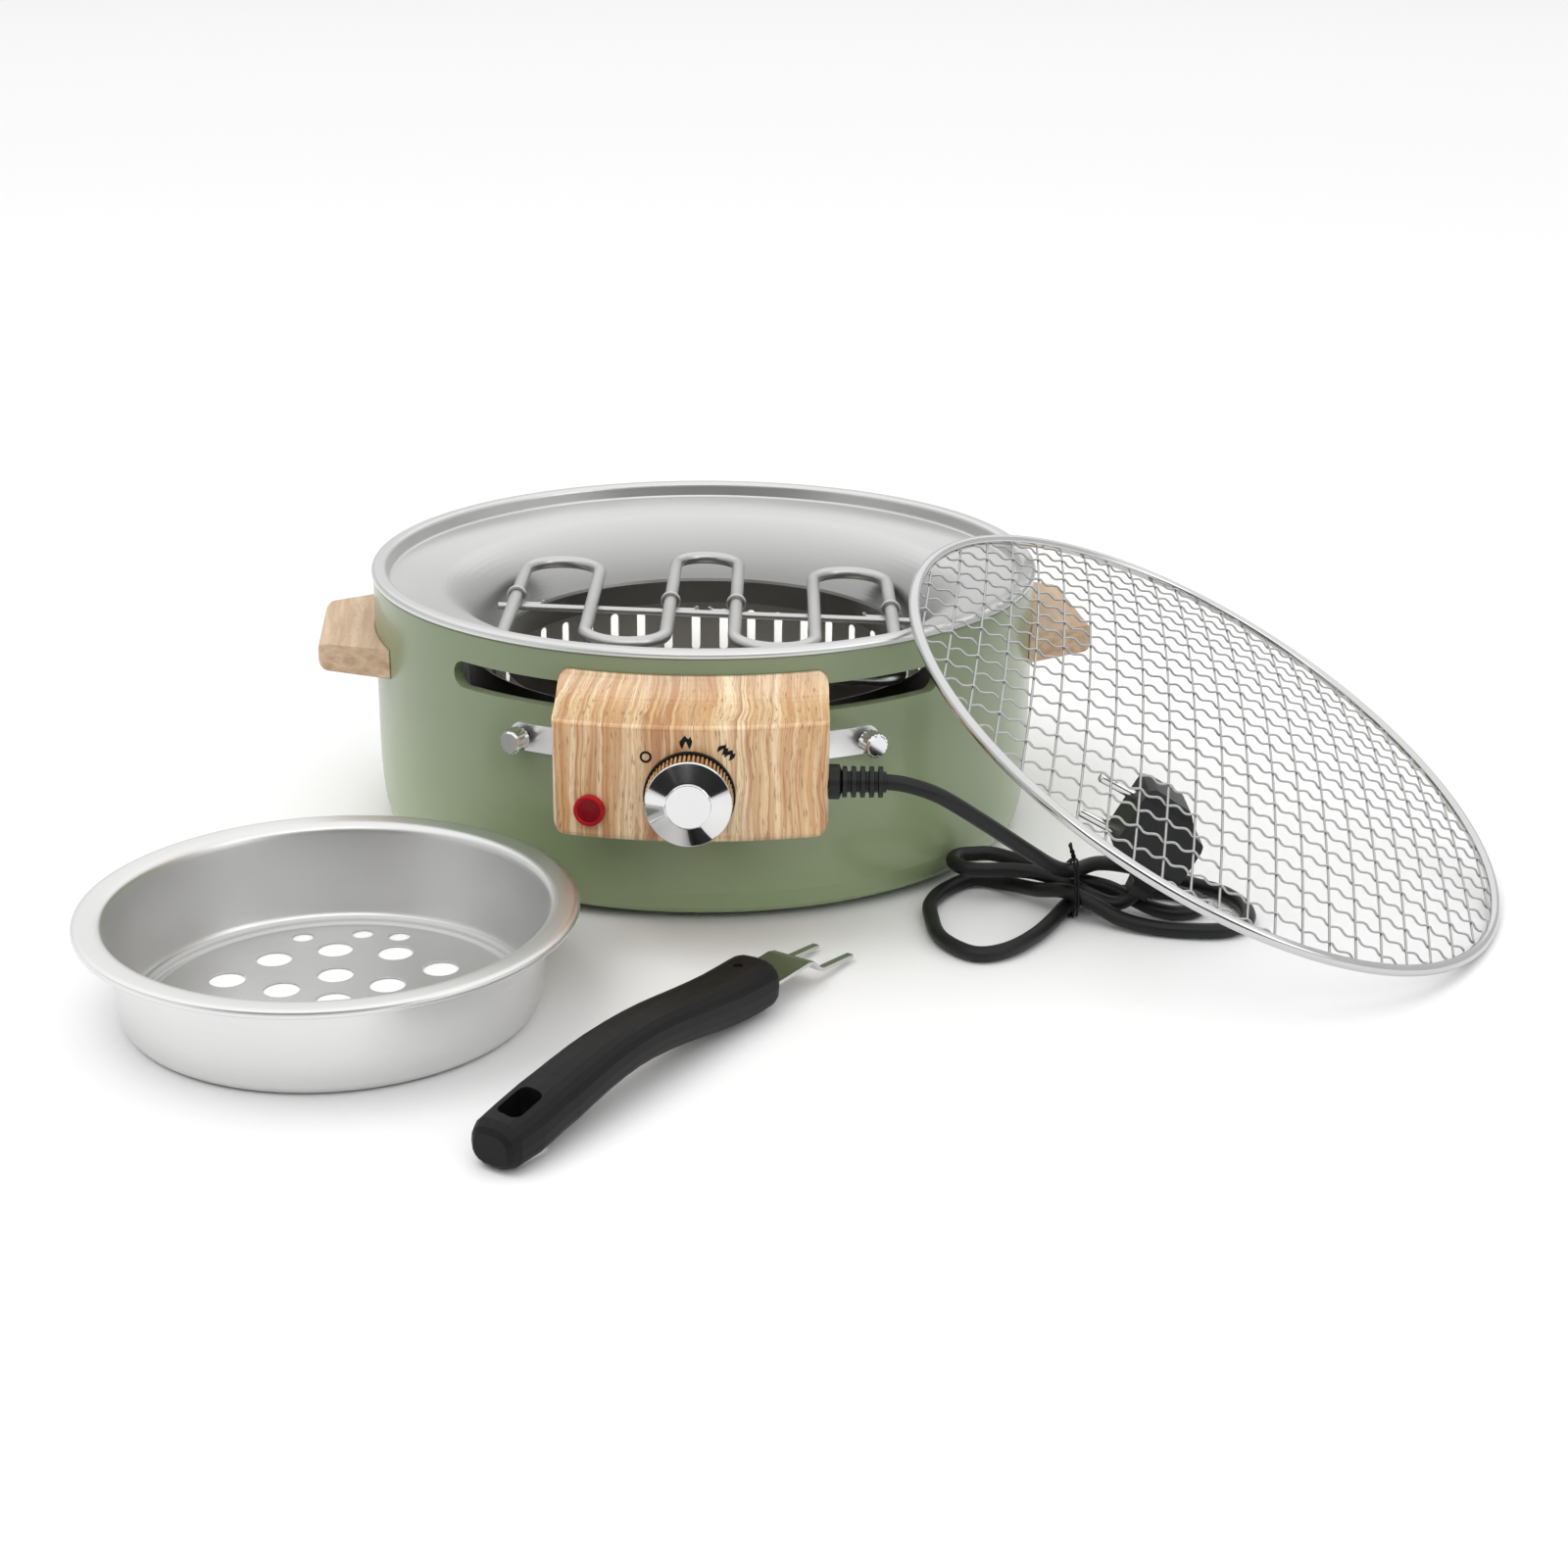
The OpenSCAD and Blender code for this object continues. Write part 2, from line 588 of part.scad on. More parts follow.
module box_back() {
  half_w = box_w / 2 - box_wall - seat;
  z0 = box_z + box_wall + seat;
  z1 = box_top - box_wall - 5.4;
  color([0.3, 0.3, 0.3]) difference() {
    intersection() {
      sector(back_r, back_out, z0, z1, 40);
      translate([-half_w, -back_out - 1, 0]) cube([2 * half_w, back_out, rim_z + 50]);
    }
    difference() {
      translate([-box_w, -back_out - 1, 0]) cube([2 * box_w, back_out, z0 + 8]);
      translate([0, 0, 0]) rotate([90, 0, 0]) translate([0, 0, 50]) linear_extrude(200) polygon(rounded(
        [[-half_w, z0], [half_w, z0], [half_w, z0 + 40], [-half_w, z0 + 40]], [6, 6, 0, 0]));
    }
    on_element() for (s = [-1, 1])
      translate([s * cold_x, -back_r + 15, 0]) rotate([90, 0, 0]) cylinder(d = tube_d + 0.7, h = 40);
    box_screw_shanks(1.6, 5);
    for (s = [-1, 1]) radial(s * 12, strap_r - 3, strap_z) cylinder(r = 2.1, h = 12);
  }
}
module box_screws() {
  color([0.6, 0.6, 0.62]) {
    box_screw_shanks(1.5, 12);
    for (s = [-1, 1]) {
      radial(s * upper_a, back_r - 1.1, upper_z) cylinder(r = 2.8, h = 1.05);
      radial(s * lower_a, back_r - 1.1, lower_z) cylinder(r = 2.8, h = 1.05);
      radial(s * upper_a, back_r - 0.5, upper_z) cylinder(r = 1.5, h = 2);
      radial(s * lower_a, back_r - 0.5, lower_z) cylinder(r = 1.5, h = 2);
    }
  }
}
module mounting_strap() {
  color([0.8, 0.8, 0.8]) difference() {
    sector(strap_r, strap_out, strap_z - strap_h / 2, strap_z + strap_h / 2, thumb_a + 2.3);
    for (s = [-1, 1]) {
      radial(s * thumb_a, strap_r - 6, strap_z) cylinder(d = thumb_d + 0.4, h = 14);
      radial(s * 12, strap_r - 6, strap_z) cylinder(r = 2.1, h = 14);
      radial(s * thumb_a, strap_r - 6, strap_z) linear_extrude(14) difference() {
        translate([s > 0 ? 0 : -strap_h, -strap_h]) square([strap_h, 2 * strap_h]);
        circle(d = strap_h + 0.5);
      }
    }
  }
}
module strap_rivets() {
  color([0.7, 0.7, 0.7]) for (s = [-1, 1]) radial(s * 12, strap_r + seat, strap_z) {
    cylinder(r = 2, h = back_out - strap_r + 1);
    translate([0, 0, back_out - strap_r]) cylinder(r1 = 3.6, r2 = 2.8, h = 1.2);
  }
}
module strap_nuts() {
  color([0.6, 0.6, 0.62]) for (s = [-1, 1]) radial(s * thumb_a, wall_in - nut_t - seat, strap_z) difference() {
    cylinder(r = thumb_d * 0.95, h = nut_t, $fn = 6);
    translate([0, 0, -1]) cylinder(d = thumb_d + 2 * play, h = nut_t + 2);
  }
}
function knurl(r, depth, n) = [for (i = [0:2 * n - 1]) let (a = 180 * i / n)
  (r - (i % 2) * depth) * [cos(a), sin(a)]];
module thumb_screw(s) {
  color([0.85, 0.85, 0.86]) radial(s * thumb_a, 0, strap_z) {
    translate([0, 0, wall_in - nut_t - 2]) cylinder(d = thumb_d, h = head_r0 - wall_in + nut_t + 3);
    translate([0, 0, head_r0]) linear_extrude(thumb_head_h - 1) polygon(knurl(thumb_head_d / 2, 0.5, 18));
    translate([0, 0, head_r0 + thumb_head_h - 1])
      cylinder(r1 = thumb_head_d / 2 - 0.55, r2 = thumb_head_d / 2 - 1.2, h = 1, $fn = 10);
  }
}
module thumb_screw_left() { thumb_screw(-1); }
module thumb_screw_right() { thumb_screw(1); }
module screw_collar(s) {
  color([0.1, 0.1, 0.1]) radial(s * thumb_a, collar_out, strap_z) difference() {
    cylinder(d = thumb_head_d - 3, h = thumb_collar_h);
    translate([0, 0, -1]) cylinder(d = thumb_d + 2 * play, h = thumb_collar_h + 2);
  }
}
module screw_collar_left() { screw_collar(-1); }
module screw_collar_right() { screw_collar(1); }

// Thermostat and knob, square to the leaning face
stat_z = -box_wall - 0.9;
module thermostat() {
  color([0.85, 0.83, 0.78]) on_face(0, knob_z) difference() {
    union() {
      translate([-13, -9, stat_z - 20]) cube([26, 18, 20]);
      translate([0, 0, stat_z - 1]) cylinder(r = bush_r, h = 2 - stat_z);
    }
    translate([0, 0, stat_z - 12]) cylinder(d = shaft_d + 2 * play, h = 30);
  }
}
knob_z0 = 1.2;
module knob_shaft() {
  color([0.6, 0.6, 0.62]) on_face(0, knob_z)
    translate([0, 0, stat_z - 11.8]) cylinder(d = shaft_d, h = knob_z0 + 8 - stat_z + 11.8);
}
module knob_body() {
  color([0.78, 0.64, 0.45]) on_face(0, knob_z) difference() {
    translate([0, 0, knob_z0]) linear_extrude(knob_h) polygon(knurl(knob_d / 2, 0.7, 60));
    translate([0, 0, knob_z0 - 1]) cylinder(r = bush_r + 1, h = 3);
    translate([0, 0, knob_z0 - 1]) cylinder(d = shaft_d + 0.04, h = 9.2);
    translate([0, 0, knob_z0 + knob_h - 2.5]) cylinder(r = 5 + play, h = 4);
  }
}
module knob_cap() {
  z = knob_z0 + knob_h + play;
  r = knob_d / 2 - 0.3;
  disc = knob_d * 0.26;
  color([0.85, 0.85, 0.86]) on_face(0, knob_z) {
    translate([0, 0, z - 2]) cylinder(r = 5, h = 3);
    translate([0, 0, z]) rotate_extrude() polygon(concat(
      [[0, 0], [r - 0.3, 0], [r, 0.4], [r, 0.9]], arc([r - 0.7, 0.9], 0.7, 0, 75, 4),
      [[disc + 0.4, 4.1], [disc, 4.2], [disc - 0.1, 4.9]],
      arc([disc - 0.6, 4.9], 0.5, 0, 90, 4), [[0, 5.4]]));
  }
}
module indicator_lens() {
  color([0.5, 0.08, 0.1]) on_face(lamp_a, lamp_z) {
    translate([0, 0, -box_wall - 1]) cylinder(r = lamp_r, h = box_wall + 2);
    translate([0, 0, 0.25]) rotate_extrude() polygon(concat([[0, 0], [lens_d / 2, 0]],
      arc([lens_d / 2 - 1.1, 1.5], 1.1, 0, 110, 6), [[lens_d / 2 - 1.9, 2.2], [0, 2.4]]));
  }
}
module lamp_body() {
  color([0.9, 0.9, 0.88]) on_face(lamp_a, lamp_z)
    translate([0, 0, -box_wall - 13]) cylinder(r = lamp_r - 0.3, h = 12 - play);
}

// Strain relief, cord and plug
relief_x = box_w / 2;
relief_line = concat(
  [[relief_r, -box_wall - 3], [relief_r + 2.2, -box_wall - 3], [relief_r + 2.2, -box_wall - 0.9]],
  [[relief_r + 1.2, -box_wall - 0.9], [relief_r + 1.2, seat], [relief_r + 4.1, seat], [relief_r + 4.1, 4.6]],
  [for (i = [0:4]) let (x = 5.7 + i * 3.9) each
    [[relief_r + 1, x], [relief_r + 3.4, x + 0.3], [relief_r + 3.2, x + 2.2], [relief_r + 1, x + 2.5]]],
  [[relief_r + 0.9, relief_l + 2.6], [relief_r, relief_l + 2.6]]);
module strain_relief() {
  color([0.12, 0.12, 0.12]) translate([relief_x, relief_y, relief_z]) rotate([0, 90, 0])
    rotate_extrude() polygon(relief_line);
}
plug_face = [194.7, -150, 52.4];
plug_turn = 28.8;
// Hand-laid route: out of the relief, down, then four bights drawn together by the tie
cord_points = [[relief_x - box_wall - 2, relief_y, relief_z], [relief_x + 12, relief_y, relief_z],
  [relief_x + 25, relief_y, relief_z],
  [96, -189, 78.5], [109, -190, 74], [127, -181, 60], [150, -167, 40], [164, -153.5, 27], [174, -143, 21.4],
  [186, -132, 20.4], [200, -122, 15.5], [216, -114, 8.5], [232, -116, 4.4], [246, -126, 4], [253, -142, 4],
  [252, -158, 4], [242, -169, 4], [227, -171, 4], [209, -168, 4], [194, -162, 5.5], [182, -155, 10],
  [170, -147.5, 12.8], [158.5, -136.5, 8.8], [147, -119, 4.4], [131, -112.5, 4], [117, -126, 4],
  [109.5, -142, 4], [108.5, -158, 4], [111.5, -182, 4], [124.5, -199, 4], [139.5, -195, 4], [154, -178, 4],
  [164, -160, 4], [174, -141, 4.8], [184, -133, 4.2], [197, -127, 3.8], [210, -125, 3.8], [223, -126, 3.8],
  [232, -132, 3.8], [234, -140, 3.8], [229, -148, 3.8], [220, -150.5, 3.8], [211, -147, 4.4], [203, -142, 6.5],
  [191, -137, 10.6], [178, -134, 12.9], [167, -122.5, 13.3], [152, -113, 13.8], [140, -107.5, 14.8],
  [131, -109.7, 15.6], [123.7, -112.7, 16], [120.7, -120, 16], [123.7, -127.3, 16], [131, -130.3, 15.8],
  [146, -128.5, 15.2], [160, -131.5, 14.8], [174, -141, 12.8], [183, -147, 10], [190, -149.4, 8],
  [195, -150, 8.4], [199.3, -150, 10.9], [202.6, -150, 14.9], [205, -150, 19.3], [207.4, -150, 23.7]];
cord_path = smooth(cord_points, 2);
function heading(p, i) = unit(p[min(i + 1, len(p) - 1)] - p[max(i - 1, 0)]);
function cord_ring(p, i, r, n) = let (t = heading(p, i), u = unit(cross([0, 0, 1], t)), v = cross(t, u))
  [for (k = [0:n - 1]) p[i] + r * (u * cos(360 * k / n) + v * sin(360 * k / n))];
cord_gap = min([for (i = [0:len(cord_path) - 1]) for (j = [i + 5:1:len(cord_path) - 1])
  norm(cord_path[i] - cord_path[j])]) - cord_d;
echo(cord_least_gap = cord_gap);
module cord() {
  color([0.1, 0.1, 0.1]) skin([for (i = [0:len(cord_path) - 1]) cord_ring(cord_path, i, cord_d / 2, 8)]);
}
tie_mid = [1.5, 13];
tie_line = [[-7.5, 0.9], [5, 0.9], [18.8, 11.5], [18.8, 14.6], [17.2, 16.4], [1, 25.2], [-3, 26.3], [-7.6, 26.2],
  [-14.7, 13], [-14.7, 9.8]];
module cord_tie() {
  color([0.06, 0.06, 0.06]) translate([174, -141, 0]) {
    rotate([90, 0, 90]) translate([0, 0, -1.2]) linear_extrude(2.4) difference() {
      polygon([for (p = tie_line) tie_mid + (p - tie_mid) * 1.07]);
      polygon(tie_line);
    }
    translate([0, -3, 26.8]) rotate([-12, -14, 0]) cylinder(r = 0.6, h = 12);
    translate([0, -6, 26.8]) rotate([24, 20, 0]) cylinder(r = 0.6, h = 7);
  }
}
module on_plug() {
  translate(plug_face) rotate([0, plug_turn, 0]) children();
}
module plug_body() {
  color([0.1, 0.1, 0.1]) on_plug() difference() {
    intersection() {
      rotate([90, 0, 0]) linear_extrude(40, center = true) polygon(rounded(
        [[0, -13], [0, 17], [3.6, 18.7], [22, 17.6], [30, 8.5], [35, 7], [36, 3.6], [36, -15], [30, -24],
         [29.5, -31], [20.5, -31], [19.5, -24], [8, -18]], [2, 2, 1, 3, 2, 1.5, 1, 4, 3, 0, 0, 3, 3], 3));
      rotate([90, 0, 90]) linear_extrude(60) polygon(rounded(
        [[-13, 20], [13, 20], [13, -14], [5.4, -26], [5.4, -32], [-5.4, -32], [-5.4, -26], [-13, -14]],
        [7, 7, 5, 4, 0, 0, 4, 5], 4));
    }
    translate([25, 0, -32]) cylinder(d = cord_d + 4 * play, h = 13.5);
    for (s = [-1, 1]) translate([-1, 0, s * pin_pitch / 2]) rotate([0, 90, 0]) cylinder(d = pin_d + 2 * play, h = 11);
  }
}
module plug_pins() {
  color([0.8, 0.8, 0.8]) on_plug() for (s = [-1, 1]) translate([9.9, 0, s * pin_pitch / 2]) rotate([0, -90, 0]) {
    cylinder(d = pin_d, h = 9.9 + pin_l - 1);
    translate([0, 0, 8.9 + pin_l]) cylinder(d1 = pin_d, d2 = pin_d - 1.6, h = 1);
  }
}

// Charcoal bowl
bowl_line = let (w = bowl_floor_d / 2, top = [bowl_d / 2 - 9, bowl_h - 4.5])
  concat([[0, bowl_t / 2]],
    arc([w - 8, bowl_t / 2 + 7.5], 7.5, -90, -12, 5),
    [top], bezier(top, top + [0.9, 2.4], top + [2.4, 3.6], [bowl_d / 2 - 3, bowl_h - bowl_t / 2], 4),
    arc([bowl_d / 2 - 1.9, bowl_h - bowl_t / 2 - 1.5], 1.5, 90, -60, 5));
module charcoal_bowl() {
  color([0.75, 0.75, 0.76]) translate(bowl_pos) difference() {
    rotate_extrude($fn = 144) polygon(concat([[0, 0]],
      [for (i = [1:len(bowl_line) - 1]) offs(bowl_line, -bowl_t / 2)[i]],
      flip([for (i = [1:len(bowl_line) - 1]) offs(bowl_line, bowl_t / 2)[i]]), [[0, bowl_t]]));
    translate([0, 0, -1]) cylinder(d = bowl_hole_d, h = 4);
    for (i = [0:5]) rotate([0, 0, 38 + 60 * i]) translate([bowl_floor_d * 0.155, 0, -1]) cylinder(d = bowl_hole_d, h = 4);
    for (i = [0:11]) rotate([0, 0, 9 + 30 * i]) translate([bowl_floor_d * 0.316, 0, -1]) cylinder(d = bowl_hole_d, h = 4);
    for (a = [75, 89, 111]) rotate([0, 0, a]) translate([bowl_floor_d * 0.417, 0, -1]) cylinder(d = bowl_small_d, h = 4);
  }
}

// Lifter: arched grip with an end cap, and a forked steel tongue
module on_lifter() {
  translate(lifter_pos) rotate([0, 0, lifter_turn]) children();
}
front_s = grip_l - grip_cap_l;
function grip_ring(p, n) = [for (k = [0:n - 1]) let (a = 360 * k / n, c = cos(a), s = sin(a))
  [p[0], p[1] * sign(c) * pow(abs(c), 0.75), p[2] + p[3] * sign(s) * pow(abs(s), 0.75)]];
// Stations along the grip: distance, half width, height of the middle, half height
grip_rows = [[grip_cap_l + seat, grip_w / 2, 15, 10], [grip_cap_l + front_s * 0.16, grip_w / 2 - 0.5, 18.5, 9.6],
  [grip_cap_l + front_s * 0.31, grip_w / 2 - 1, 20, 9.4], [grip_cap_l + front_s * 0.47, grip_w / 2 - 1, 19, 9.6],
  [grip_cap_l + front_s * 0.64, grip_w / 2 - 0.6, 16, 10], [grip_cap_l + front_s * 0.8, grip_w / 2, 13.2, 10.8],
  [grip_l - 8, grip_w / 2 + 0.5, tongue_z, 11.2], [grip_l - 2, grip_w / 2 + 0.2, tongue_z, 10.8],
  [grip_l, grip_w / 2 - 1, tongue_z, 9.6]];
cap_rows = [[0, grip_w / 2 - 4.5, 9.5, 6], [1.5, grip_w / 2 - 2.5, 9.8, 8], [5, grip_w / 2 - 0.8, 10.2, 9.4],
  [grip_cap_l * 0.45, grip_w / 2, 11.5, 10.2], [grip_cap_l * 0.8, grip_w / 2, 14, 10.1], [grip_cap_l, grip_w / 2, 15, 10]];
rivet_s = grip_l - 14;
hang_s = grip_cap_l / 2 - 1;
hang_w = grip_w * 0.46;
module lifter_grip() {
  color([0.12, 0.12, 0.12]) on_lifter() difference() {
    skin([for (p = smooth(grip_rows, 2)) grip_ring(p, 20)]);
    translate([grip_l - 26, -tongue_w / 2 - seat, tongue_z - tongue_t / 2 - seat])
      cube([40, tongue_w + 2 * seat, tongue_t + 2 * seat]);
    translate([rivet_s, 0, -5]) cylinder(r = 2.1, h = 40);
  }
}
module lifter_end_cap() {
  color([0.15, 0.15, 0.15]) on_lifter() difference() {
    skin([for (p = cap_rows) grip_ring(p, 20)]);
    translate([0, 0, -5]) linear_extrude(40) polygon(rounded(
      [[hang_s - 9.5, -hang_w / 2], [hang_s + 8, -hang_w / 2], [hang_s + 9.5, hang_w / 2], [hang_s - 8, hang_w / 2]],
      [3.5, 3.5, 3.5, 3.5], 4));
  }
}
tongue_line = [[grip_l - 25.5, tongue_z], [grip_l + tongue_l - 9, tongue_z], [grip_l + tongue_l - 5, tongue_z - 1],
  [grip_l + tongue_l, tongue_z - 5.5], [grip_l + tongue_l + 3, tongue_z - 6.8],
  [grip_l + tongue_l + prong_l, tongue_z - 9.3]];
module lifter_tongue() {
  color([0.7, 0.7, 0.7]) on_lifter() difference() {
    translate([0, tongue_w / 2, 0]) rotate([90, 0, 0]) linear_extrude(tongue_w) polygon(sheet(tongue_line, tongue_t));
    translate([grip_l + tongue_l - 1, -tongue_w / 2 + prong_w, -5]) cube([60, tongue_w - 2 * prong_w, 40]);
    translate([rivet_s, 0, -5]) cylinder(r = 2.1, h = 40);
  }
}
module lifter_rivet() {
  color([0.7, 0.7, 0.7]) on_lifter() translate([rivet_s, 0, tongue_z - 9.5]) cylinder(r = 2, h = 19);
}

// Grate: ring and woven mesh, leaning on the rim
module on_grate() {
  rotate([0, 0, lean_turn]) translate([grate_u, grate_side, grate_z]) rotate([0, lean, 0]) children();
}
module grate_ring() {
  color([0.75, 0.75, 0.75]) on_grate()
    rotate_extrude($fn = 144) translate([ring_mid, 0]) circle(r = ring_r, $fn = 32);
}
function chord(o) = sqrt(mesh_r * mesh_r - pow(abs(o) + mesh_d / 2, 2));
function dome(x, o) = sqrt(dome_r * dome_r - x * x - o * o) - dome_r + mesh_rise;
module grate_wires_plain() {
  color([0.7, 0.7, 0.7]) on_grate() rotate([0, 0, mesh_turn - 90]) for (i = [-mesh_rows:mesh_rows]) {
    o = i * mesh_pitch;
    bow_r = sqrt(dome_r * dome_r - o * o);
    half = asin(chord(o) / bow_r);
    translate([0, o, mesh_rise - dome_r]) rotate([90, 0, 0]) rotate([0, 0, 90 - half])
      rotate_extrude(angle = 2 * half, $fn = 360) translate([bow_r, 0]) circle(d = mesh_d, $fn = 24);
  }
}
// Crimped wires wave three times a mesh, so that they pass over and under the plain ones in turn
function crimp_side(i, j) = (i + j) % 2 == 0 ? crest : -crest;
function crimp_points(i, j, x) = j % 3 == 0 ? [[x - 0.6, crimp_side(i, j)], [x + 0.6, crimp_side(i, j)]] :
  [[x, 0.8 * crimp_side(i, j)]];
function crimp_line(i) = let (o = i * mesh_pitch, c = chord(o), third = mesh_pitch / 3)
  let (n = round(c / mesh_pitch), last = floor((c + 1.5) / third))
  let (tail = abs(c - n * mesh_pitch) < 3 ? crimp_side(i, 3 * n) : 0)
  let (wave = [for (j = [-last:last]) each crimp_points(i, j, j * third)])
  let (all = concat([[-c, tail]], [for (p = wave) if (abs(p[0]) < c - 0.4) p], [[c, tail]]))
  [for (p = all) [p[0], p[1] + dome(p[0], o)]];
module grate_wires_crimped() {
  color([0.7, 0.7, 0.7]) on_grate() rotate([0, 0, mesh_turn]) for (i = [-mesh_rows:mesh_rows])
    translate([0, i * mesh_pitch + mesh_d / 2, 0]) rotate([90, 0, 0])
      linear_extrude(mesh_d) polygon(sheet(crimp_line(i), mesh_d));
}

outer_shell();
base_plate();
foot_ring();
reflector_pan();
slotted_liner();
handle_left();
handle_right();
handle_screws();
heating_element();
element_tie_rod();
element_clips();
element_bushings();
element_terminals();
box_cover();
box_back();
box_screws();
mounting_strap();
strap_rivets();
strap_nuts();
thumb_screw_left();
thumb_screw_right();
screw_collar_left();
screw_collar_right();
thermostat();
knob_shaft();
knob_body();
knob_cap();
indicator_lens();
lamp_body();
strain_relief();
cord();
cord_tie();
plug_body();
plug_pins();
charcoal_bowl();
lifter_grip();
lifter_end_cap();
lifter_tongue();
lifter_rivet();
grate_ring();
grate_wires_plain();
grate_wires_crimped();
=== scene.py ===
import json
import math

import bpy
import bmesh
from mathutils import Matrix, Vector
from mathutils.geometry import delaunay_2d_cdt


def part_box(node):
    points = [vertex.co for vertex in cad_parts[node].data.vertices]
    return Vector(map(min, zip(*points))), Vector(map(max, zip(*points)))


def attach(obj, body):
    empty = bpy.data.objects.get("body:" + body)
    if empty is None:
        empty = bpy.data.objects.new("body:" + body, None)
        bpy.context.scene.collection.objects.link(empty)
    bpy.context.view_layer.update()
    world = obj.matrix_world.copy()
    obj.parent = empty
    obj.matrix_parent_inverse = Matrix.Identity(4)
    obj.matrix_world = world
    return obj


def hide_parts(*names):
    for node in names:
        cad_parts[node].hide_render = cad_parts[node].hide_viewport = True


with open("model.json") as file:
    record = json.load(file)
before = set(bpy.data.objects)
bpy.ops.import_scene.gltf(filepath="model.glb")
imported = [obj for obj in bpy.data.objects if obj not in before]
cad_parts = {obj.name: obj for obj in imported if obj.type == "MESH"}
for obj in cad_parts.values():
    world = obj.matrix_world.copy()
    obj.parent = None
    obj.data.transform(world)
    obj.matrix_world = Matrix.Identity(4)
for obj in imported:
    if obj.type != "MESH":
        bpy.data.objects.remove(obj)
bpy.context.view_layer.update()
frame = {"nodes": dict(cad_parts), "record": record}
NODES = frame["nodes"]
SCENE = bpy.context.scene
MM = 0.001

# Sizes that the dressing shares with the solids, in millimetres
WALL_R = 164.3  # outside of the drum
RIM_R, RIM_Z = 165.0, 131.0
BOX_Z = 57.1  # foot of the box's face
BOX_DEPTH = 42.7  # depth of the box at its foot
FACE_TILT = math.radians(4.4)  # backward lean of the box's face
STAND = 0.2  # room between a loose piece and the table
BOWL_AT = (-0.1499, -0.2487, 0.0)  # middle of the charcoal bowl, in metres


# Camera, fitted to the rim, base, bowl and grate in the photograph
def make_camera():
    data = bpy.data.cameras.new("camera")
    data.sensor_fit = "HORIZONTAL"
    data.sensor_width = 36.0
    data.lens = 56.32
    data.shift_x = 0.0513
    data.clip_start = 0.01
    data.clip_end = 100.0
    cam = bpy.data.objects.new("camera", data)
    cam.location = (0.0353, -1.1904, 0.4466)
    cam.rotation_euler = (math.radians(69.825), 0.0, math.radians(1.7))
    SCENE.collection.objects.link(cam)
    SCENE.camera = cam


make_camera()


def smooth_line(points, steps, closed=False):
    """Catmull-Rom points through a row of points, as the solids' own route is smoothed."""
    out, n = [], len(points)
    pick = (lambda i: points[i % n]) if closed else (lambda i: points[min(max(i, 0), n - 1)])
    for i in range(n if closed else n - 1):
        a, b, c, d = (Vector(pick(i + k)) for k in (-1, 0, 1, 2))
        for j in range(steps):
            t = j / steps
            out.append(b + (c - a) * (t / 2) + (a * 2 - b * 5 + c * 4 - d) * (t * t / 2)
                       + (b * 3 - a - c * 3 + d) * (t ** 3 / 2))
    if not closed:
        out.append(Vector(points[-1]))
    return out


def tube(name, lines, radius, sides=4):
    """Round tubes along lines of points, in metres, as a curve with one open spline a line."""
    data = bpy.data.curves.new(name, "CURVE")
    data.dimensions = "3D"
    data.bevel_depth = 1.0
    data.bevel_resolution = sides
    data.use_fill_caps = True
    for points in lines:
        spline = data.splines.new("POLY")
        spline.points.add(len(points) - 1)
        for p, co in zip(spline.points, points):
            p.co = (*co, 1.0)
            p.radius = radius
        spline.use_smooth = True
    obj = bpy.data.objects.new(name, data)
    SCENE.collection.objects.link(obj)
    return obj


# Cord: out of the strain relief, down, then four bights drawn together by the tie
CORD_D = 0.007
CORD_STEPS = 5
CORD_ROUTE = [  # in millimetres
    (55.8, -187, 79.5), (72, -187, 79.5), (85, -187, 79.5), (96, -189, 78.5), (109, -190, 74),
    (127, -181, 60), (150, -167, 40), (164, -153.5, 27), (174, -143, 21.4), (186, -132, 20.4),
    (200, -122, 15.5), (216, -114, 8.5), (232, -116, 4.4), (246, -126, 4), (253, -142, 4),
    (252, -158, 4), (242, -169, 4), (227, -171, 4), (209, -168, 4), (194, -162, 5.5), (182, -155, 10),
    (170, -147.5, 12.8), (158.5, -136.5, 8.8), (147, -119, 4.4), (131, -112.5, 4), (117, -126, 4),
    (109.5, -142, 4), (108.5, -158, 4), (111.5, -182, 4), (124.5, -199, 4), (139.5, -195, 4),
    (154, -178, 4), (164, -160, 4), (174, -141, 4.8), (184, -133, 4.2), (197, -127, 3.8),
    (210, -125, 3.8), (223, -126, 3.8), (232, -132, 3.8), (234, -140, 3.8), (229, -148, 3.8),
    (220, -150.5, 3.8), (211, -147, 4.4), (203, -142, 6.5), (191, -137, 10.6), (178, -134, 12.9),
    (167, -122.5, 13.3), (152, -113, 13.8), (140, -107.5, 14.8), (131, -109.7, 15.6),
    (123.7, -112.7, 16), (120.7, -120, 16), (123.7, -127.3, 16), (131, -130.3, 15.8),
    (146, -128.5, 15.2), (160, -131.5, 14.8), (174, -141, 12.8), (183, -147, 10), (190, -149.4, 8),
    (195, -150, 8.4), (199.3, -150, 10.9), (202.6, -150, 14.9), (205, -150, 19.3), (207.4, -150, 23.7),
]
CORD_LINE = [p * MM for p in smooth_line(CORD_ROUTE, CORD_STEPS)]
cord = tube("mains_cord", [CORD_LINE], CORD_D / 2, sides=5)
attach(cord, "grill_body")
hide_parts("cord")


# Shader helpers
def lin(r, g, b):
    """A display colour of 0 to 255 as linear light."""
    return tuple(
        (c / 255 / 12.92 if c / 255 <= 0.04045 else ((c / 255 + 0.055) / 1.055) ** 2.4) for c in (r, g, b)
    ) + (1.0,)


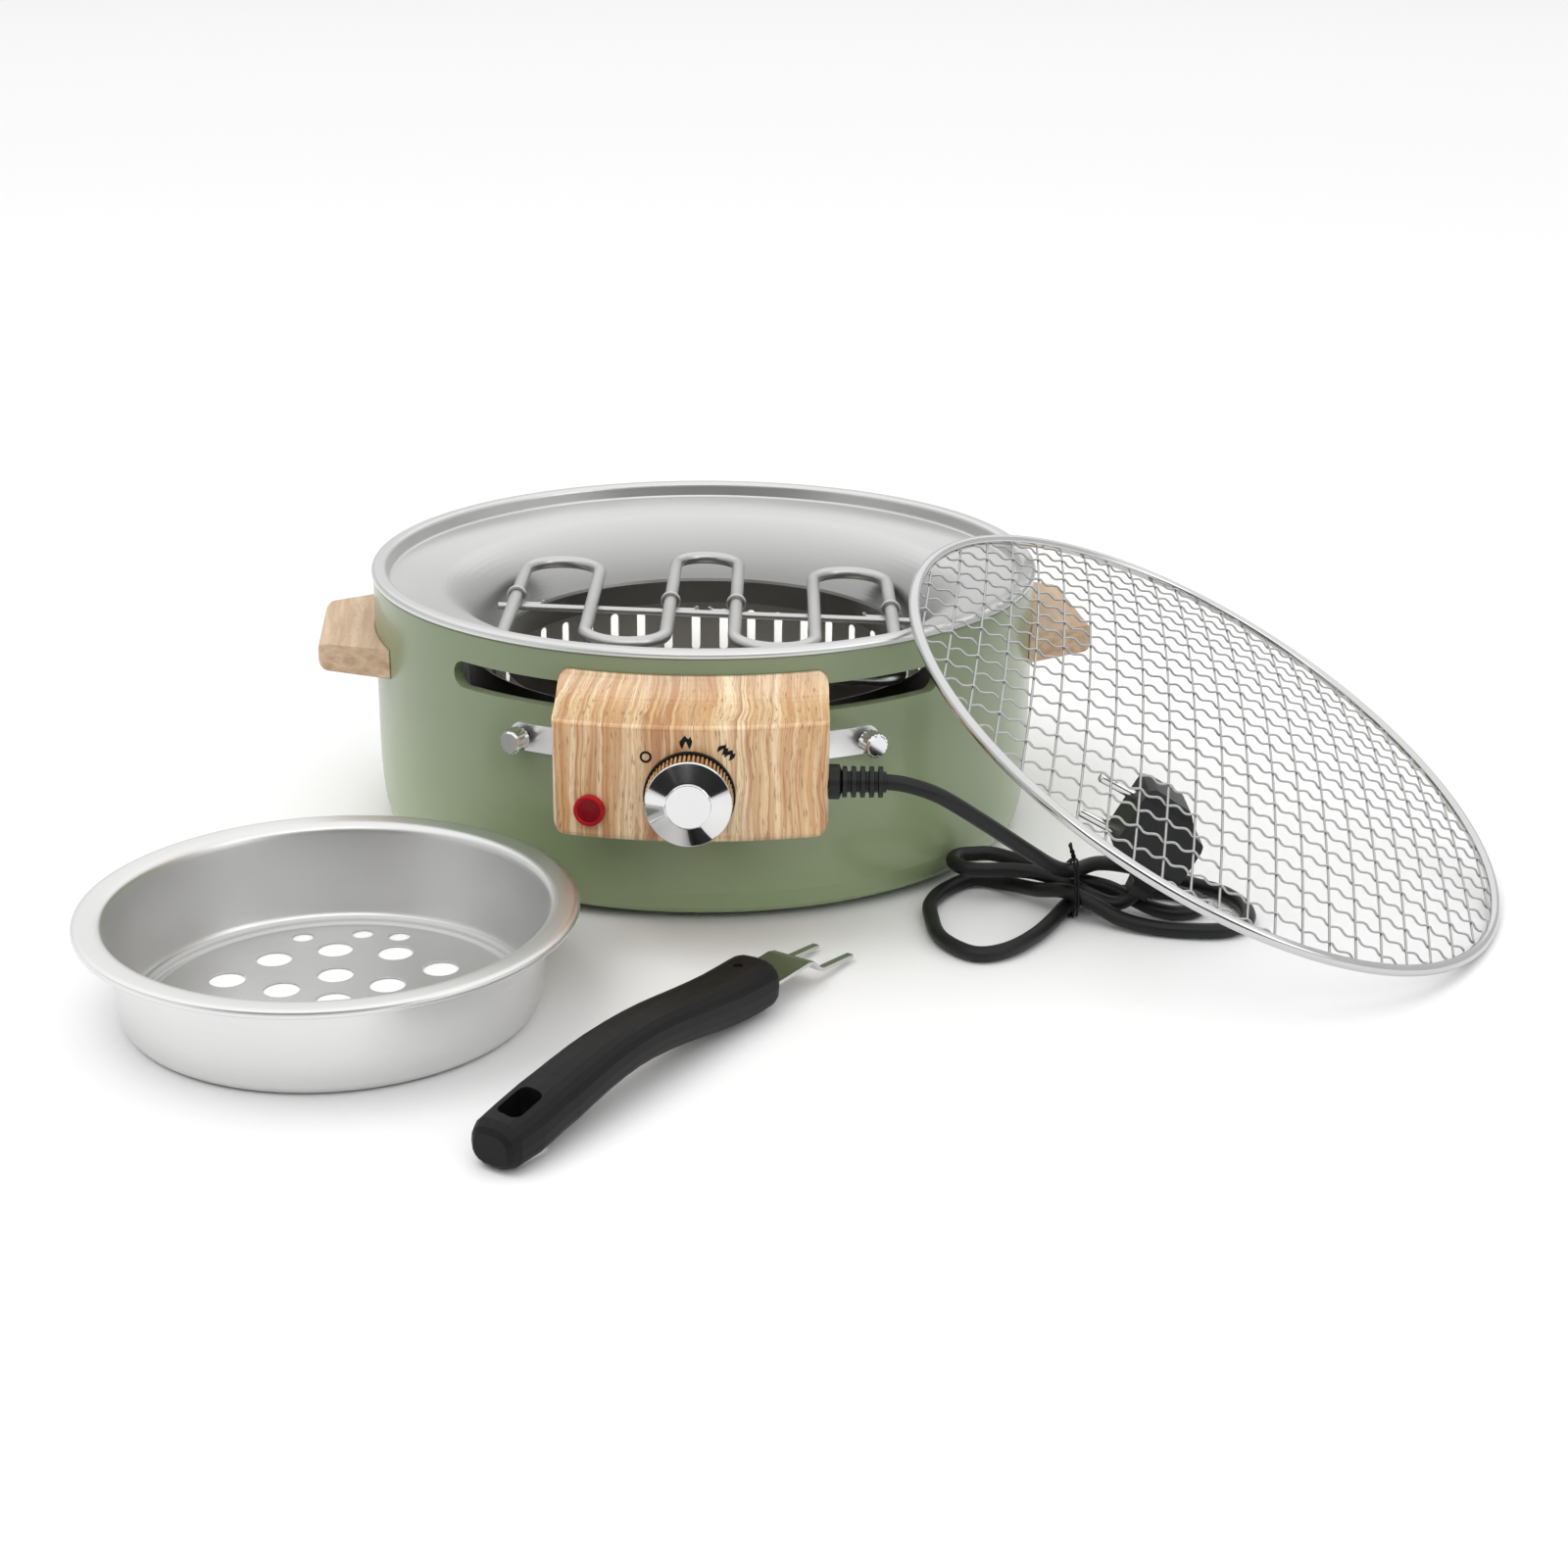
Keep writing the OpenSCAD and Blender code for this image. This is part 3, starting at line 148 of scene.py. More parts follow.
def shade(colour, factor):
    """A colour with its light multiplied."""
    return tuple(c * factor for c in colour[:3]) + (1.0,)


NOISE_SPAN = (0.3, 0.7)  # where a noise has most of its values


class Look:
    """A material's node tree with short calls for the nodes that the looks share."""

    def __init__(self, name, colour, rough, metal=0.0, **sockets):
        self.mat = bpy.data.materials.new(name)
        self.mat.use_nodes = True
        self.tree = self.mat.node_tree
        self.bsdf = self.tree.nodes["Principled BSDF"]
        self.set("Base Color", colour)
        self.set("Roughness", rough)
        self.set("Metallic", metal)
        for key, value in sockets.items():
            self.set(key.replace("_", " "), value)
        self.mat.diffuse_color = colour

    def set(self, socket, value):
        self.bsdf.inputs[socket].default_value = value

    def node(self, kind, **inputs):
        n = self.tree.nodes.new(kind)
        for key, value in inputs.items():
            self.feed(n, key.replace("_", " "), value)
        return n

    def feed(self, n, key, value):
        socket = n.inputs[int(key) if key.isdigit() else key]
        if isinstance(value, bpy.types.NodeSocket):
            self.tree.links.new(value, socket)
        else:
            socket.default_value = value

    def link(self, out, socket):
        self.tree.links.new(out, self.bsdf.inputs[socket])

    def place(self, scale=(1, 1, 1), turn=(0, 0, 0)):
        """The place on the piece, in metres, stretched by scale."""
        tc = self.tree.nodes.new("ShaderNodeTexCoord")
        m = self.tree.nodes.new("ShaderNodeMapping")
        m.inputs["Scale"].default_value = scale
        m.inputs["Rotation"].default_value = turn
        self.tree.links.new(tc.outputs["Object"], m.inputs["Vector"])
        return m.outputs["Vector"]

    def noise(self, vector, scale=1.0, detail=3.0, rough=0.5, distort=0.0):
        n = self.node("ShaderNodeTexNoise", Vector=vector, Scale=scale, Detail=detail, Roughness=rough,
                      Distortion=distort)
        return n.outputs["Fac"]

    def ramp(self, fac, stops):
        n = self.tree.nodes.new("ShaderNodeValToRGB")
        ramp = n.color_ramp
        while len(ramp.elements) < len(stops):
            ramp.elements.new(0.5)
        for e, (pos, colour) in zip(ramp.elements, stops):
            e.position = pos
            e.color = colour if len(colour) == 4 else (*colour, 1.0)
        self.tree.links.new(fac, n.inputs["Fac"])
        return n.outputs["Color"]

    def grey(self, fac, low, high, a=0.0, b=1.0):
        """A number that runs from low to high as fac runs from a to b."""
        n = self.node("ShaderNodeMapRange", Value=fac)
        for key, value in zip(("From Min", "From Max", "To Min", "To Max"), (a, b, low, high)):
            n.inputs[key].default_value = value
        return n.outputs["Result"]

    def mix(self, fac, a, b, mode="MIX"):
        n = self.tree.nodes.new("ShaderNodeMix")
        n.data_type = "RGBA"
        n.blend_type = mode
        for socket, value in ((n.inputs[0], fac), (n.inputs[6], a), (n.inputs[7], b)):
            if isinstance(value, bpy.types.NodeSocket):
                self.tree.links.new(value, socket)
            else:
                socket.default_value = value
        return n.outputs[2]

    def math(self, kind, a, b=0.0):
        n = self.tree.nodes.new("ShaderNodeMath")
        n.operation = kind
        for socket, value in zip(n.inputs, (a, b)):
            if isinstance(value, bpy.types.NodeSocket):
                self.tree.links.new(value, socket)
            else:
                socket.default_value = value
        return n.outputs[0]

    def bump(self, height, strength, distance=0.001, normal=None):
        n = self.node("ShaderNodeBump", Height=height, Strength=strength, Distance=distance)
        if normal is not None:
            self.tree.links.new(normal, n.inputs["Normal"])
        self.link(n.outputs["Normal"], "Normal")

    def soft_edges(self, radius):
        n = self.node("ShaderNodeBevel", Radius=radius)
        n.samples = 4
        return n.outputs["Normal"]

    def split(self, vector):
        n = self.node("ShaderNodeSeparateXYZ", Vector=vector)
        return n.outputs

    def join(self, x=0.0, y=0.0, z=0.0):
        return self.node("ShaderNodeCombineXYZ", X=x, Y=y, Z=z).outputs["Vector"]

    def axis_radius(self, centre=(0, 0, 0)):
        """Distance from an upright axis, the height, and the distance's two sides, in metres."""
        x, y, z = self.split(self.place())
        dx = self.math("SUBTRACT", x, centre[0])
        dy = self.math("SUBTRACT", y, centre[1])
        return self.length(dx, dy), z, dx, dy

    def dot(self, a, b):
        return self.math("ADD", self.math("MULTIPLY", a[0], b[0]), self.math("MULTIPLY", a[1], b[1]))

    def length(self, a, b):
        return self.math("SQRT", self.dot((a, b), (a, b)))

    def facing(self, dx, dy):
        """Over 0 where the surface faces away from the upright axis, under 0 where it faces the axis."""
        nx, ny, _ = self.split(self.tree.nodes.new("ShaderNodeNewGeometry").outputs["True Normal"])
        return self.dot((nx, ny), (dx, dy))

    def spun(self, r, z, lines):
        """Fine rings round the axis, as spinning leaves them."""
        rings = self.join(self.math("MULTIPLY", r, lines), self.math("MULTIPLY", z, lines))
        return self.noise(rings, 1.0, 3.0, 0.6)


def painted_drum():
    """Satin paint with painted light that makes it paler towards the foot; inside, painted shade makes it
    near black, but painted light makes the wall behind the liner's slots pale.
    """
    inner_face, inside_z, slots_y = -0.05, 0.012, 0.112
    foot_z, plain_z = 0.015, 0.085
    k = Look("drum_paint", lin(124, 137, 104), 0.3, Coat_Weight=0.35, Coat_Roughness=0.12)
    _, z, dx, dy = k.axis_radius()
    mottled = k.noise(k.place((6, 6, 9)), 1.0, 2.0)
    paint = k.ramp(mottled, [(0.3, lin(119, 132, 99)), (0.7, lin(129, 142, 109))])
    # painted light: the paint paler towards the foot
    paint = k.mix(k.grey(z, 0.8, 0.0, foot_z, plain_z), paint, lin(146, 162, 120))
    # painted shade: the inside near black; painted light: the wall behind the liner's slots pale
    inside_shade_and_light = k.mix(k.math("GREATER_THAN", dy, slots_y), lin(20, 20, 19), lin(224, 223, 220))
    inside = k.math("MULTIPLY", k.math("LESS_THAN", k.facing(dx, dy), inner_face),
                    k.math("GREATER_THAN", z, inside_z))
    k.link(k.mix(inside, paint, inside_shade_and_light), "Base Color")
    k.link(k.grey(k.noise(k.place((90, 90, 90)), 1.0, 3.0), 0.3, 0.34, *NOISE_SPAN), "Roughness")
    k.bump(k.noise(k.place(), 1400.0, 2.0), 0.02, 0.0003)
    return k.mat


# Heights of the pan's wall, in metres: at the collar and at the ledge
PAN_FOOT_Z, PAN_LEDGE_Z = 0.093, 0.124


def turned_steel(name, colour, rough, foot_shade=1.0):
    """Sheet steel with fine rings left by spinning; below 1, the last argument is painted shade that
    darkens the foot of the pan's wall by that factor.
    """
    k = Look(name, colour, rough, 1.0)
    r, z, _, _ = k.axis_radius()
    fine = k.spun(r, z, 900.0)
    cloud = k.noise(k.place((14, 14, 14)), 1.0, 3.0)
    tone = k.mix(cloud, shade(colour, 0.93), colour)
    # painted shade: the pan's wall darker towards its foot
    if foot_shade < 1:
        tone = k.mix(k.grey(z, 1.0, 0.0, PAN_FOOT_Z, PAN_LEDGE_Z), tone, shade(colour, foot_shade))
    k.link(tone, "Base Color")
    both = k.math("ADD", k.math("MULTIPLY", fine, 0.6), k.math("MULTIPLY", cloud, 0.4))
    k.link(k.grey(both, rough - 0.05, rough + 0.05, *NOISE_SPAN), "Roughness")
    k.bump(fine, 0.05, 0.0003)
    return k.mat


def bowl_steel():
    """Spun steel, satin, with painted shade that darkens the inside, most of all on the floor, and painted
    light that brightens the outside.
    """
    floor_z, flange_z, outer_face = 0.003, 0.0435, 0.02
    floor, wall = (0.53, 0.53, 0.527, 1), (0.76, 0.76, 0.755, 1)
    flange, outside = (0.74, 0.74, 0.735, 1), (0.78, 0.78, 0.775, 1)
    k = Look("bowl_steel", (0.7, 0.7, 0.695, 1), 0.36, 1.0)
    r, z, dx, dy = k.axis_radius(BOWL_AT)
    fine = k.spun(r, z, 700.0)
    cloud = k.noise(k.place((14, 14, 14)), 1.0, 3.0)
    # painted light and shade on one steel: a dark floor, a brighter outside
    tone = k.mix(k.math("GREATER_THAN", z, floor_z), floor, wall)
    tone = k.mix(k.math("GREATER_THAN", z, flange_z), tone, flange)
    tone = k.mix(k.math("GREATER_THAN", k.facing(dx, dy), outer_face), tone, outside)
    k.link(k.mix(k.math("MULTIPLY", cloud, 0.14), tone, (0.3, 0.3, 0.3, 1)), "Base Color")
    k.link(k.grey(fine, 0.32, 0.42, *NOISE_SPAN), "Roughness")
    k.bump(fine, 0.05, 0.0003)
    return k.mat


def plain_steel(name, colour, rough, spread=0.05, grain=600.0, depth=0.04):
    """Drawn or pressed steel with a fine, even grain."""
    k = Look(name, colour, rough, 1.0)
    fine = k.noise(k.place(), grain, 3.0, 0.6)
    cloud = k.noise(k.place((40, 40, 40)), 1.0, 3.0)
    k.link(k.mix(cloud, shade(colour, 0.9), colour), "Base Color")
    k.link(k.grey(cloud, rough - spread, rough + spread, *NOISE_SPAN), "Roughness")
    k.bump(fine, depth, 0.0002)
    return k.mat


def moulded(name, colour, rough, grain=2600.0, depth=0.08, **sockets):
    """Moulded plastic or rubber with a fine grain."""
    k = Look(name, colour, rough, 0.0, **sockets)
    cloud = k.noise(k.place((30, 30, 30)), 1.0, 3.0)
    k.link(k.mix(cloud, shade(colour, 0.8), shade(colour, 1.2)), "Base Color")
    k.link(k.grey(cloud, rough - 0.05, rough + 0.06, *NOISE_SPAN), "Roughness")
    k.bump(k.noise(k.place(), grain, 2.0, 0.6), depth, 0.0003)
    return k.mat


def printed_wood():
    """A printed wood skin: upright growth lines that fan out over the top, fibres and short pores, and a
    painted highlight that pales the top.
    """
    edge_z, top_z = 0.1085, 0.119
    left_x, still_x, fan_out = -0.062, 0.01, 0.01
    k = Look("wood_print", lin(214, 176, 124), 0.3, Coat_Weight=0.9, Coat_Roughness=0.14)
    x, y, z = k.split(k.place())
    up = k.math("ADD", z, y)
    top = k.grey(z, 0.0, 1.0, edge_z, top_z)
    fan = k.math("MULTIPLY", top, k.grey(x, fan_out, 0.0, left_x, still_x))
    sway = k.noise(k.join(k.math("MULTIPLY", x, 14.0), k.math("MULTIPLY", up, 22.0), 0.0), 1.0, 2.0)
    swayed = k.math("MULTIPLY", k.math("SUBTRACT", sway, 0.5), 0.008)
    xs = k.math("ADD", k.math("SUBTRACT", x, fan), swayed)

    def along(across, length, seed, detail, rough=0.5):
        place = k.join(k.math("MULTIPLY", xs, across), k.math("MULTIPLY", up, length), seed)
        return k.noise(place, 1.0, detail, rough)

    year = k.math("FRACT", k.math("MULTIPLY", along(62.0, 1.5, 0.3, 2.0), 13.0))
    broad = along(70.0, 2.0, 5.2, 2.0)
    streak = along(330.0, 6.0, 2.6, 2.0, 0.55)
    fibre = along(1300.0, 30.0, 4.1, 3.0, 0.65)
    pore = along(2000.0, 150.0, 7.7, 1.0)
    tone = k.ramp(broad, [(0.36, lin(204, 158, 102)), (0.5, lin(220, 184, 134)),
                          (0.62, lin(238, 214, 172))])
    line = k.ramp(year, [(0.0, (0, 0, 0)), (0.45, (0.1, 0.1, 0.1)), (0.84, (0.8, 0.8, 0.8)),
                         (0.97, (1, 1, 1)), (1.0, (0.1, 0.1, 0.1))])
    weight = k.math("MULTIPLY", line, k.grey(along(120.0, 3.0, 9.4, 2.0), 0.25, 1.0, 0.38, 0.6))
    tone = k.mix(weight, tone, lin(164, 98, 46))
    tone = k.mix(k.grey(streak, 0.0, 0.75, 0.5, 0.68), tone, lin(182, 122, 66))
    tone = k.mix(k.grey(streak, 0.5, 0.0, 0.34, 0.48), tone, lin(246, 228, 192))
    tone = k.mix(k.grey(fibre, 0.0, 0.65, 0.46, 0.72), tone, lin(158, 104, 56))
    tone = k.mix(k.grey(pore, 0.0, 0.8, 0.62, 0.72), tone, lin(124, 78, 42))
    # painted highlight: the top of the box paler
    tone = k.mix(k.math("MULTIPLY", top, 0.16), tone, lin(250, 240, 224))
    k.link(tone, "Base Color")
    k.link(k.grey(fibre, 0.28, 0.38, *NOISE_SPAN), "Roughness")
    k.bump(fibre, 0.03, 0.0002, k.soft_edges(0.0008))
    return k.mat


def solid_wood():
    """Oiled beech with grain along the handle."""
    k = Look("light_wood", lin(206, 178, 146), 0.5)
    x, y, z = k.split(k.place((1, 1, 1), (0, 0, math.radians(-6.5))))

    def grain(px, pz, across, along, up, detail, rough=0.5):
        place = k.join(k.math("MULTIPLY", px, across), k.math("MULTIPLY", y, along),
                       k.math("MULTIPLY", pz, up))
        return k.noise(place, 1.0, detail, rough)

    bend = k.math("MULTIPLY", grain(x, z, 30.0, 8.0, 30.0, 2.0), 0.012)
    ring = grain(k.math("ADD", x, bend), k.math("ADD", z, bend), 170.0, 5.0, 330.0, 3.0, 0.6)
    fleck = grain(x, z, 1500.0, 160.0, 1500.0, 1.0)
    tone = k.ramp(ring, [(0.3, lin(172, 140, 106)), (0.5, lin(194, 166, 135)), (0.72, lin(212, 190, 162))])
    tone = k.mix(k.grey(fleck, 0.0, 0.5, 0.62, 0.74), tone, lin(160, 118, 82))
    k.link(tone, "Base Color")
    k.link(k.grey(ring, 0.42, 0.58, *NOISE_SPAN), "Roughness")
    k.bump(fleck, 0.08, 0.0003, k.soft_edges(0.001))
    return k.mat


def lamp_lens():
    """Red lens: a painted highlight pales its rolled edge round a deeper red window."""
    window_r, rim_r = 0.0049, 0.0054
    k = Look("red_lens", lin(120, 6, 15), 0.16, Specular_IOR_Level=0.16)
    low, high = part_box("indicator_lens")
    x, _, z = k.split(k.place())
    dx = k.math("SUBTRACT", x, (low[0] + high[0]) / 2)
    dz = k.math("SUBTRACT", z, (low[2] + high[2]) / 2)
    rim = k.grey(k.length(dx, dz), 0.0, 1.0, window_r, rim_r)
    cells = k.noise(k.place(), 900.0, 2.0)
    window = k.mix(cells, lin(98, 3, 11), lin(132, 9, 20))
    # painted highlight: the rolled edge paler than the window
    k.link(k.mix(rim, window, lin(164, 15, 26)), "Base Color")
    k.bump(cells, 0.04, 0.0003)
    return k.mat


# Knob: its foot on the leaning face of the box, its axis and its teeth's radius, in millimetres
KNOB_Z = 79.1
KNOB_FOOT = Vector((0, -(WALL_R + BOX_DEPTH - (KNOB_Z - BOX_Z) * math.tan(FACE_TILT)), KNOB_Z))
KNOB_AXIS = Vector((0, -math.cos(FACE_TILT), math.sin(FACE_TILT)))
KNOB_R = 19.0


def knurled_wood():
    """Wood-printed teeth; painted shade makes the grooves between them and the knob's foot by the box's
    face black.
    """
    groove_r, crest_r = (KNOB_R - 0.5) * MM, (KNOB_R - 0.25) * MM
    black_to, wood_from = 0.0026, 0.0034  # heights over the box's face
    k = Look("knurled_wood", lin(196, 146, 92), 0.3)
    x, y, z = k.split(k.place())
    dy = k.math("SUBTRACT", y, KNOB_FOOT.y * MM)
    dz = k.math("SUBTRACT", z, KNOB_FOOT.z * MM)
    height = k.dot((dy, dz), (KNOB_AXIS.y, KNOB_AXIS.z))
    across = k.dot((dz, dy), (-KNOB_AXIS.y, KNOB_AXIS.z))
    # painted shade: black in the grooves and at the foot, up to black_to over the box's face
    crest = k.grey(k.length(x, across), 0.0, 1.0, groove_r, crest_r)
    shown = k.math("MULTIPLY", crest, k.grey(height, 0.0, 1.0, black_to, wood_from))
    grain = k.noise(k.place((300, 300, 60)), 1.0, 3.0)
    wood = k.ramp(grain, [(0.35, lin(172, 116, 64)), (0.65, lin(218, 176, 124))])
    k.link(k.mix(shown, (0.006, 0.006, 0.006, 1), wood), "Base Color")
    k.link(k.grey(grain, 0.26, 0.36, *NOISE_SPAN), "Roughness")
    return k.mat


LOOKS = {
    "drum_paint": painted_drum(),
    # the pan's steel, with painted shade at the foot of its wall
    "bright_steel": turned_steel("bright_steel", (0.66, 0.66, 0.655, 1), 0.32, 0.42),
    "strap_steel": plain_steel("strap_steel", (0.94, 0.94, 0.94, 1), 0.36),
    "tongue_steel": plain_steel("tongue_steel", (0.6, 0.6, 0.6, 1), 0.1, 0.03),
    "dark_steel": turned_steel("dark_steel", (0.5, 0.485, 0.455, 1), 0.5),
    "light_wood": solid_wood(),
    "wood_print": printed_wood(),
    "element_steel": plain_steel("element_steel", (0.56, 0.56, 0.55, 1), 0.34, 0.07, 900.0),
    "screw_steel": plain_steel("screw_steel", (0.8, 0.8, 0.81, 1), 0.3),
    "chrome_trim": plain_steel("chrome_trim", (0.74, 0.74, 0.74, 1), 0.07, 0.02, 300.0, 0.01),
    "knurled_wood": knurled_wood(),
    "black_plastic": moulded("black_plastic", (0.005, 0.005, 0.0053, 1), 0.48,
                             Specular_IOR_Level=0.2),
    "black_steel": moulded("black_steel", (0.01, 0.01, 0.01, 1), 0.35, 900.0),
    "pale_plastic": moulded("pale_plastic", (0.7, 0.68, 0.62, 1), 0.5),
    "red_lens": lamp_lens(),
    "rubber_black": moulded("rubber_black", (0.008, 0.0085, 0.009, 1), 0.42, 1800.0, 0.06,
                            Specular_IOR_Level=0.32),
    "bowl_steel": bowl_steel(),
    "grate_wire": plain_steel("grate_wire", (0.46, 0.46, 0.455, 1), 0.2, 0.05, 500.0, 0.03),
    "grate_rim": plain_steel("grate_rim", (0.6, 0.6, 0.6, 1), 0.14, 0.03, 300.0, 0.02),
}
SLOT_OF = {row["node"]: row["material_slot"] for row in frame["record"]["subparts"]}
SPECIAL = {
    "knob_body": "knurled_wood",
    "mounting_strap": "strap_steel",
    "lifter_tongue": "tongue_steel",
    "grate_ring": "grate_rim",
}


def dress(obj, look):
    obj.data.materials.clear()
    obj.data.materials.append(LOOKS[look])


for name, obj in NODES.items():
    dress(obj, SPECIAL.get(name, SLOT_OF[name]))
dress(cord, "rubber_black")


def circle(x, y, r, n):
    turns = (2 * math.pi * i / n for i in range(n))
    return [Vector((x + r * math.cos(a), y + r * math.sin(a))) for a in turns]


def bridge(bm, rings):
    """Faces between each ring of corners and the next."""
    for a, b in zip(rings, rings[1:]):
        for i in range(len(a)):
            bm.faces.new((a[i - 1], a[i], b[i], b[i - 1]))


def mesh_object(name, bm, sharp=None):
    """The faces in bm as an object, smooth but for edges of more than sharp degrees where that is given."""
    bmesh.ops.recalc_face_normals(bm, faces=bm.faces)
    mesh = bpy.data.meshes.new(name)
    bm.to_mesh(mesh)
    bm.free()
    if sharp is not None:
        mesh.shade_smooth()
        mesh.set_sharp_from_angle(angle=math.radians(sharp))
    obj = bpy.data.objects.new(name, mesh)
    SCENE.collection.objects.link(obj)
    return obj


# Black ring round the foot of the knob, painted shade that stands in for the shadow in the gap between knob
# and box: radius and height over the box's face
SHADOW_RING_N = 96
SHADOW_RING_LINE = [(KNOB_R - 1.5, 0.4), (KNOB_R + 0.65, 0.4), (KNOB_R + 0.85, 0.6), (KNOB_R + 0.85, 2.4),
              (KNOB_R + 0.6, 2.7), (KNOB_R - 1.5, 2.7)]


def make_shadow_ring():
    up = Vector((0, math.sin(FACE_TILT), math.cos(FACE_TILT)))
    bm = bmesh.new()
    rings = []
    for r, h in SHADOW_RING_LINE:
        middle = KNOB_FOOT + KNOB_AXIS * h
        rings.append([bm.verts.new((middle + Vector((q.x, 0, 0)) + up * q.y) * MM)
                      for q in circle(0, 0, r, SHADOW_RING_N)])
    bridge(bm, rings + rings[:1])
    obj = mesh_object("knob_shadow_ring", bm, 50)
    dress(obj, "black_plastic")
    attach(obj, "knob")


make_shadow_ring()


# Marks on the face of the box: off ring, one flame, two flames
MARK_FOOT, MARK_TOP = 0.02, 0.16
OFF_AT, OFF_R, OFF_HOLE_R = (-18.8, 95.75), 2.6, 1.62
HIGH_SIZE, HIGH_TURN = 0.8, math.radians(-38)


def on_face(x, z, lift):
    """A point on the leaning round face of the box, in metres."""
    r = WALL_R + BOX_DEPTH - (z - BOX_Z) * math.tan(FACE_TILT) + lift
    a = math.asin(x / r)
    return Vector((r * math.sin(a), -r * math.cos(a), z)) * MM


def flat_mark(name, outlines, closed=True):
    """Thin printed marks: each is an outer and an inner line of as many points, closed or open."""
    bm = bmesh.new()
    for outer, inner in outlines:
        rows = [[bm.verts.new(on_face(x, z, h)) for x, z in line]
                for line in (outer, inner) for h in (MARK_FOOT, MARK_TOP)]
        n = len(outer)
        if not closed:
            for i in (0, n - 1):
                bm.faces.new((rows[0][i], rows[1][i], rows[3][i], rows[2][i]))
        for i in range(n if closed else n - 1):
            j = (i + 1) % n
            for a, b in ((1, 3), (3, 2), (2, 0), (0, 1)):
                bm.faces.new((rows[a][i], rows[a][j], rows[b][j], rows[b][i]))
    obj = mesh_object(name, bm)
    dress(obj, "black_plastic")
    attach(obj, "grill_body")


# One flame with two tongues, drawn about its own middle from the left foot: outer edge, then inner arch
FLAME_OUT = [(-1.59, -2.92), (-2.58, -1.2), (-2.7, 0.3), (-1.6, 1.5), (-1.2, 1.93), (-0.52, 2.97),
             (0.77, 1.59), (1.29, 1.5), (1.94, 2.54), (2.8, 0.3), (2.37, -1.42), (1.5, -2.92)]
FLAME_IN = [(-1.4, -2.8), (-1.12, -1.9), (-0.88, -1.2), (-0.58, -0.5), (-0.33, 0.0), (0.0, 0.35),
            (0.2, 0.1), (0.4, -0.3), (0.6, -0.75), (0.85, -1.35), (1.1, -2.0), (1.33, -2.8)]


def flame(x, z, size=1.0, turn=0.0):
    c, s = math.cos(turn) * size, math.sin(turn) * size
    return tuple([(x + c * u - s * v, z + s * u + c * v) for u, v in line]
                 for line in (FLAME_OUT, FLAME_IN))


flat_mark("dial_mark_off", [(circle(*OFF_AT, OFF_R, 40), circle(*OFF_AT, OFF_HOLE_R, 40))])
flat_mark("dial_mark_low", [flame(-1.6, 102.65)], closed=False)
flat_mark("dial_mark_high",
          [flame(x, z, HIGH_SIZE, HIGH_TURN) for x, z in ((14.3, 99.5), (17.3, 97.1))], closed=False)


# Twist tie round the bundle of cord: its wire's outline across the bundle, in millimetres
TIE_AT = Vector((174, -141, 0))
TIE_LINE = [(-7.5, 0.9), (5, 0.9), (18.8, 11.5), (18.8, 14.6), (17.2, 16.4), (1, 25.2), (-3, 26.3),
            (-7.6, 26.2), (-14.7, 13), (-14.7, 9.8)]
TIE_MID = Vector((1.5, 13))
TIE_GROW = 1.045  # the wire lies this much outside the outline
TIE_WIRE_R = 0.00055  # in metres
TIE_LOW_Z = 0.75
TIE_LAPS = (-0.7, 0.7)
TAIL_STEPS = 24
TAIL_FOOT = Vector((0, -3.2, 26.9))
TAIL_RUN = Vector((-2.6, -1.5, 8.5))


def make_tie():
    outline = [TIE_MID + (Vector(p) - TIE_MID) * TIE_GROW for p in TIE_LINE]
    turn = smooth_line([(0, u, v) for u, v in outline], 4, closed=True)
    width = TIE_LAPS[1] - TIE_LAPS[0]
    line = [TIE_AT + Vector((lap + width * (i / len(turn) - 0.5), p[1], max(p[2], TIE_LOW_Z)))
            for lap in TIE_LAPS for i, p in enumerate(turn)]
    tails = []
    for side in (0, math.pi):
        tail = []
        for i in range(TAIL_STEPS + 1):
            t = i / TAIL_STEPS
            spread = 0.62 + 2.6 * max(t - 0.55, 0) ** 1.5
            a = side + 4 * math.pi * min(t, 0.6)
            twist = Vector((math.cos(a), math.sin(a), 0)) * spread
            tail.append(TIE_AT + TAIL_FOOT + TAIL_RUN * t + twist)
        tails.append([p * MM for p in tail])
    return tube("twist_tie", [[p * MM for p in line]] + tails, TIE_WIRE_R, sides=3)


# Crimped wires of the grate: round wires that wave over the dome, in millimetres
MESH_D, MESH_PITCH, MESH_RISE, MESH_R = 1.1, 13.3, 11.3, 149.55
MESH_TURN = math.radians(20.4)
WAVE = 0.98
HALF_WAVES = 3  # in each mesh
WAVE_STEPS = 4
DOME_R = (MESH_R ** 2 + MESH_RISE ** 2) / (2 * MESH_RISE)

# The leaning grate's place, worked out as the solids' own
CREST = MESH_D + 0.18
CREST_SEAT = 1.1
LEAN, LEAN_TURN = math.radians(28.3), math.radians(-24.85)
RING_WIRE_R, RING_MID = 2.6, 152.4
GRATE_SIDE = -2.6


def grate_frame():
    low_z = RING_WIRE_R + STAND
    reach = (RIM_Z - low_z) / math.sin(LEAN) - RING_MID
    gap = CREST + MESH_D / 2 - CREST_SEAT - MESH_RISE * (1 - (reach / MESH_R) ** 2)
    low_u = RIM_R + gap * math.sin(LEAN) + (RIM_Z + gap * math.cos(LEAN) - low_z) / math.tan(LEAN)
    at = Vector((low_u - RING_MID * math.cos(LEAN), GRATE_SIDE, low_z + RING_MID * math.sin(LEAN)))
    return (Matrix.Rotation(LEAN_TURN, 4, "Z") @ Matrix.Translation(at) @ Matrix.Rotation(LEAN, 4, "Y")
            @ Matrix.Rotation(MESH_TURN, 4, "Z"))


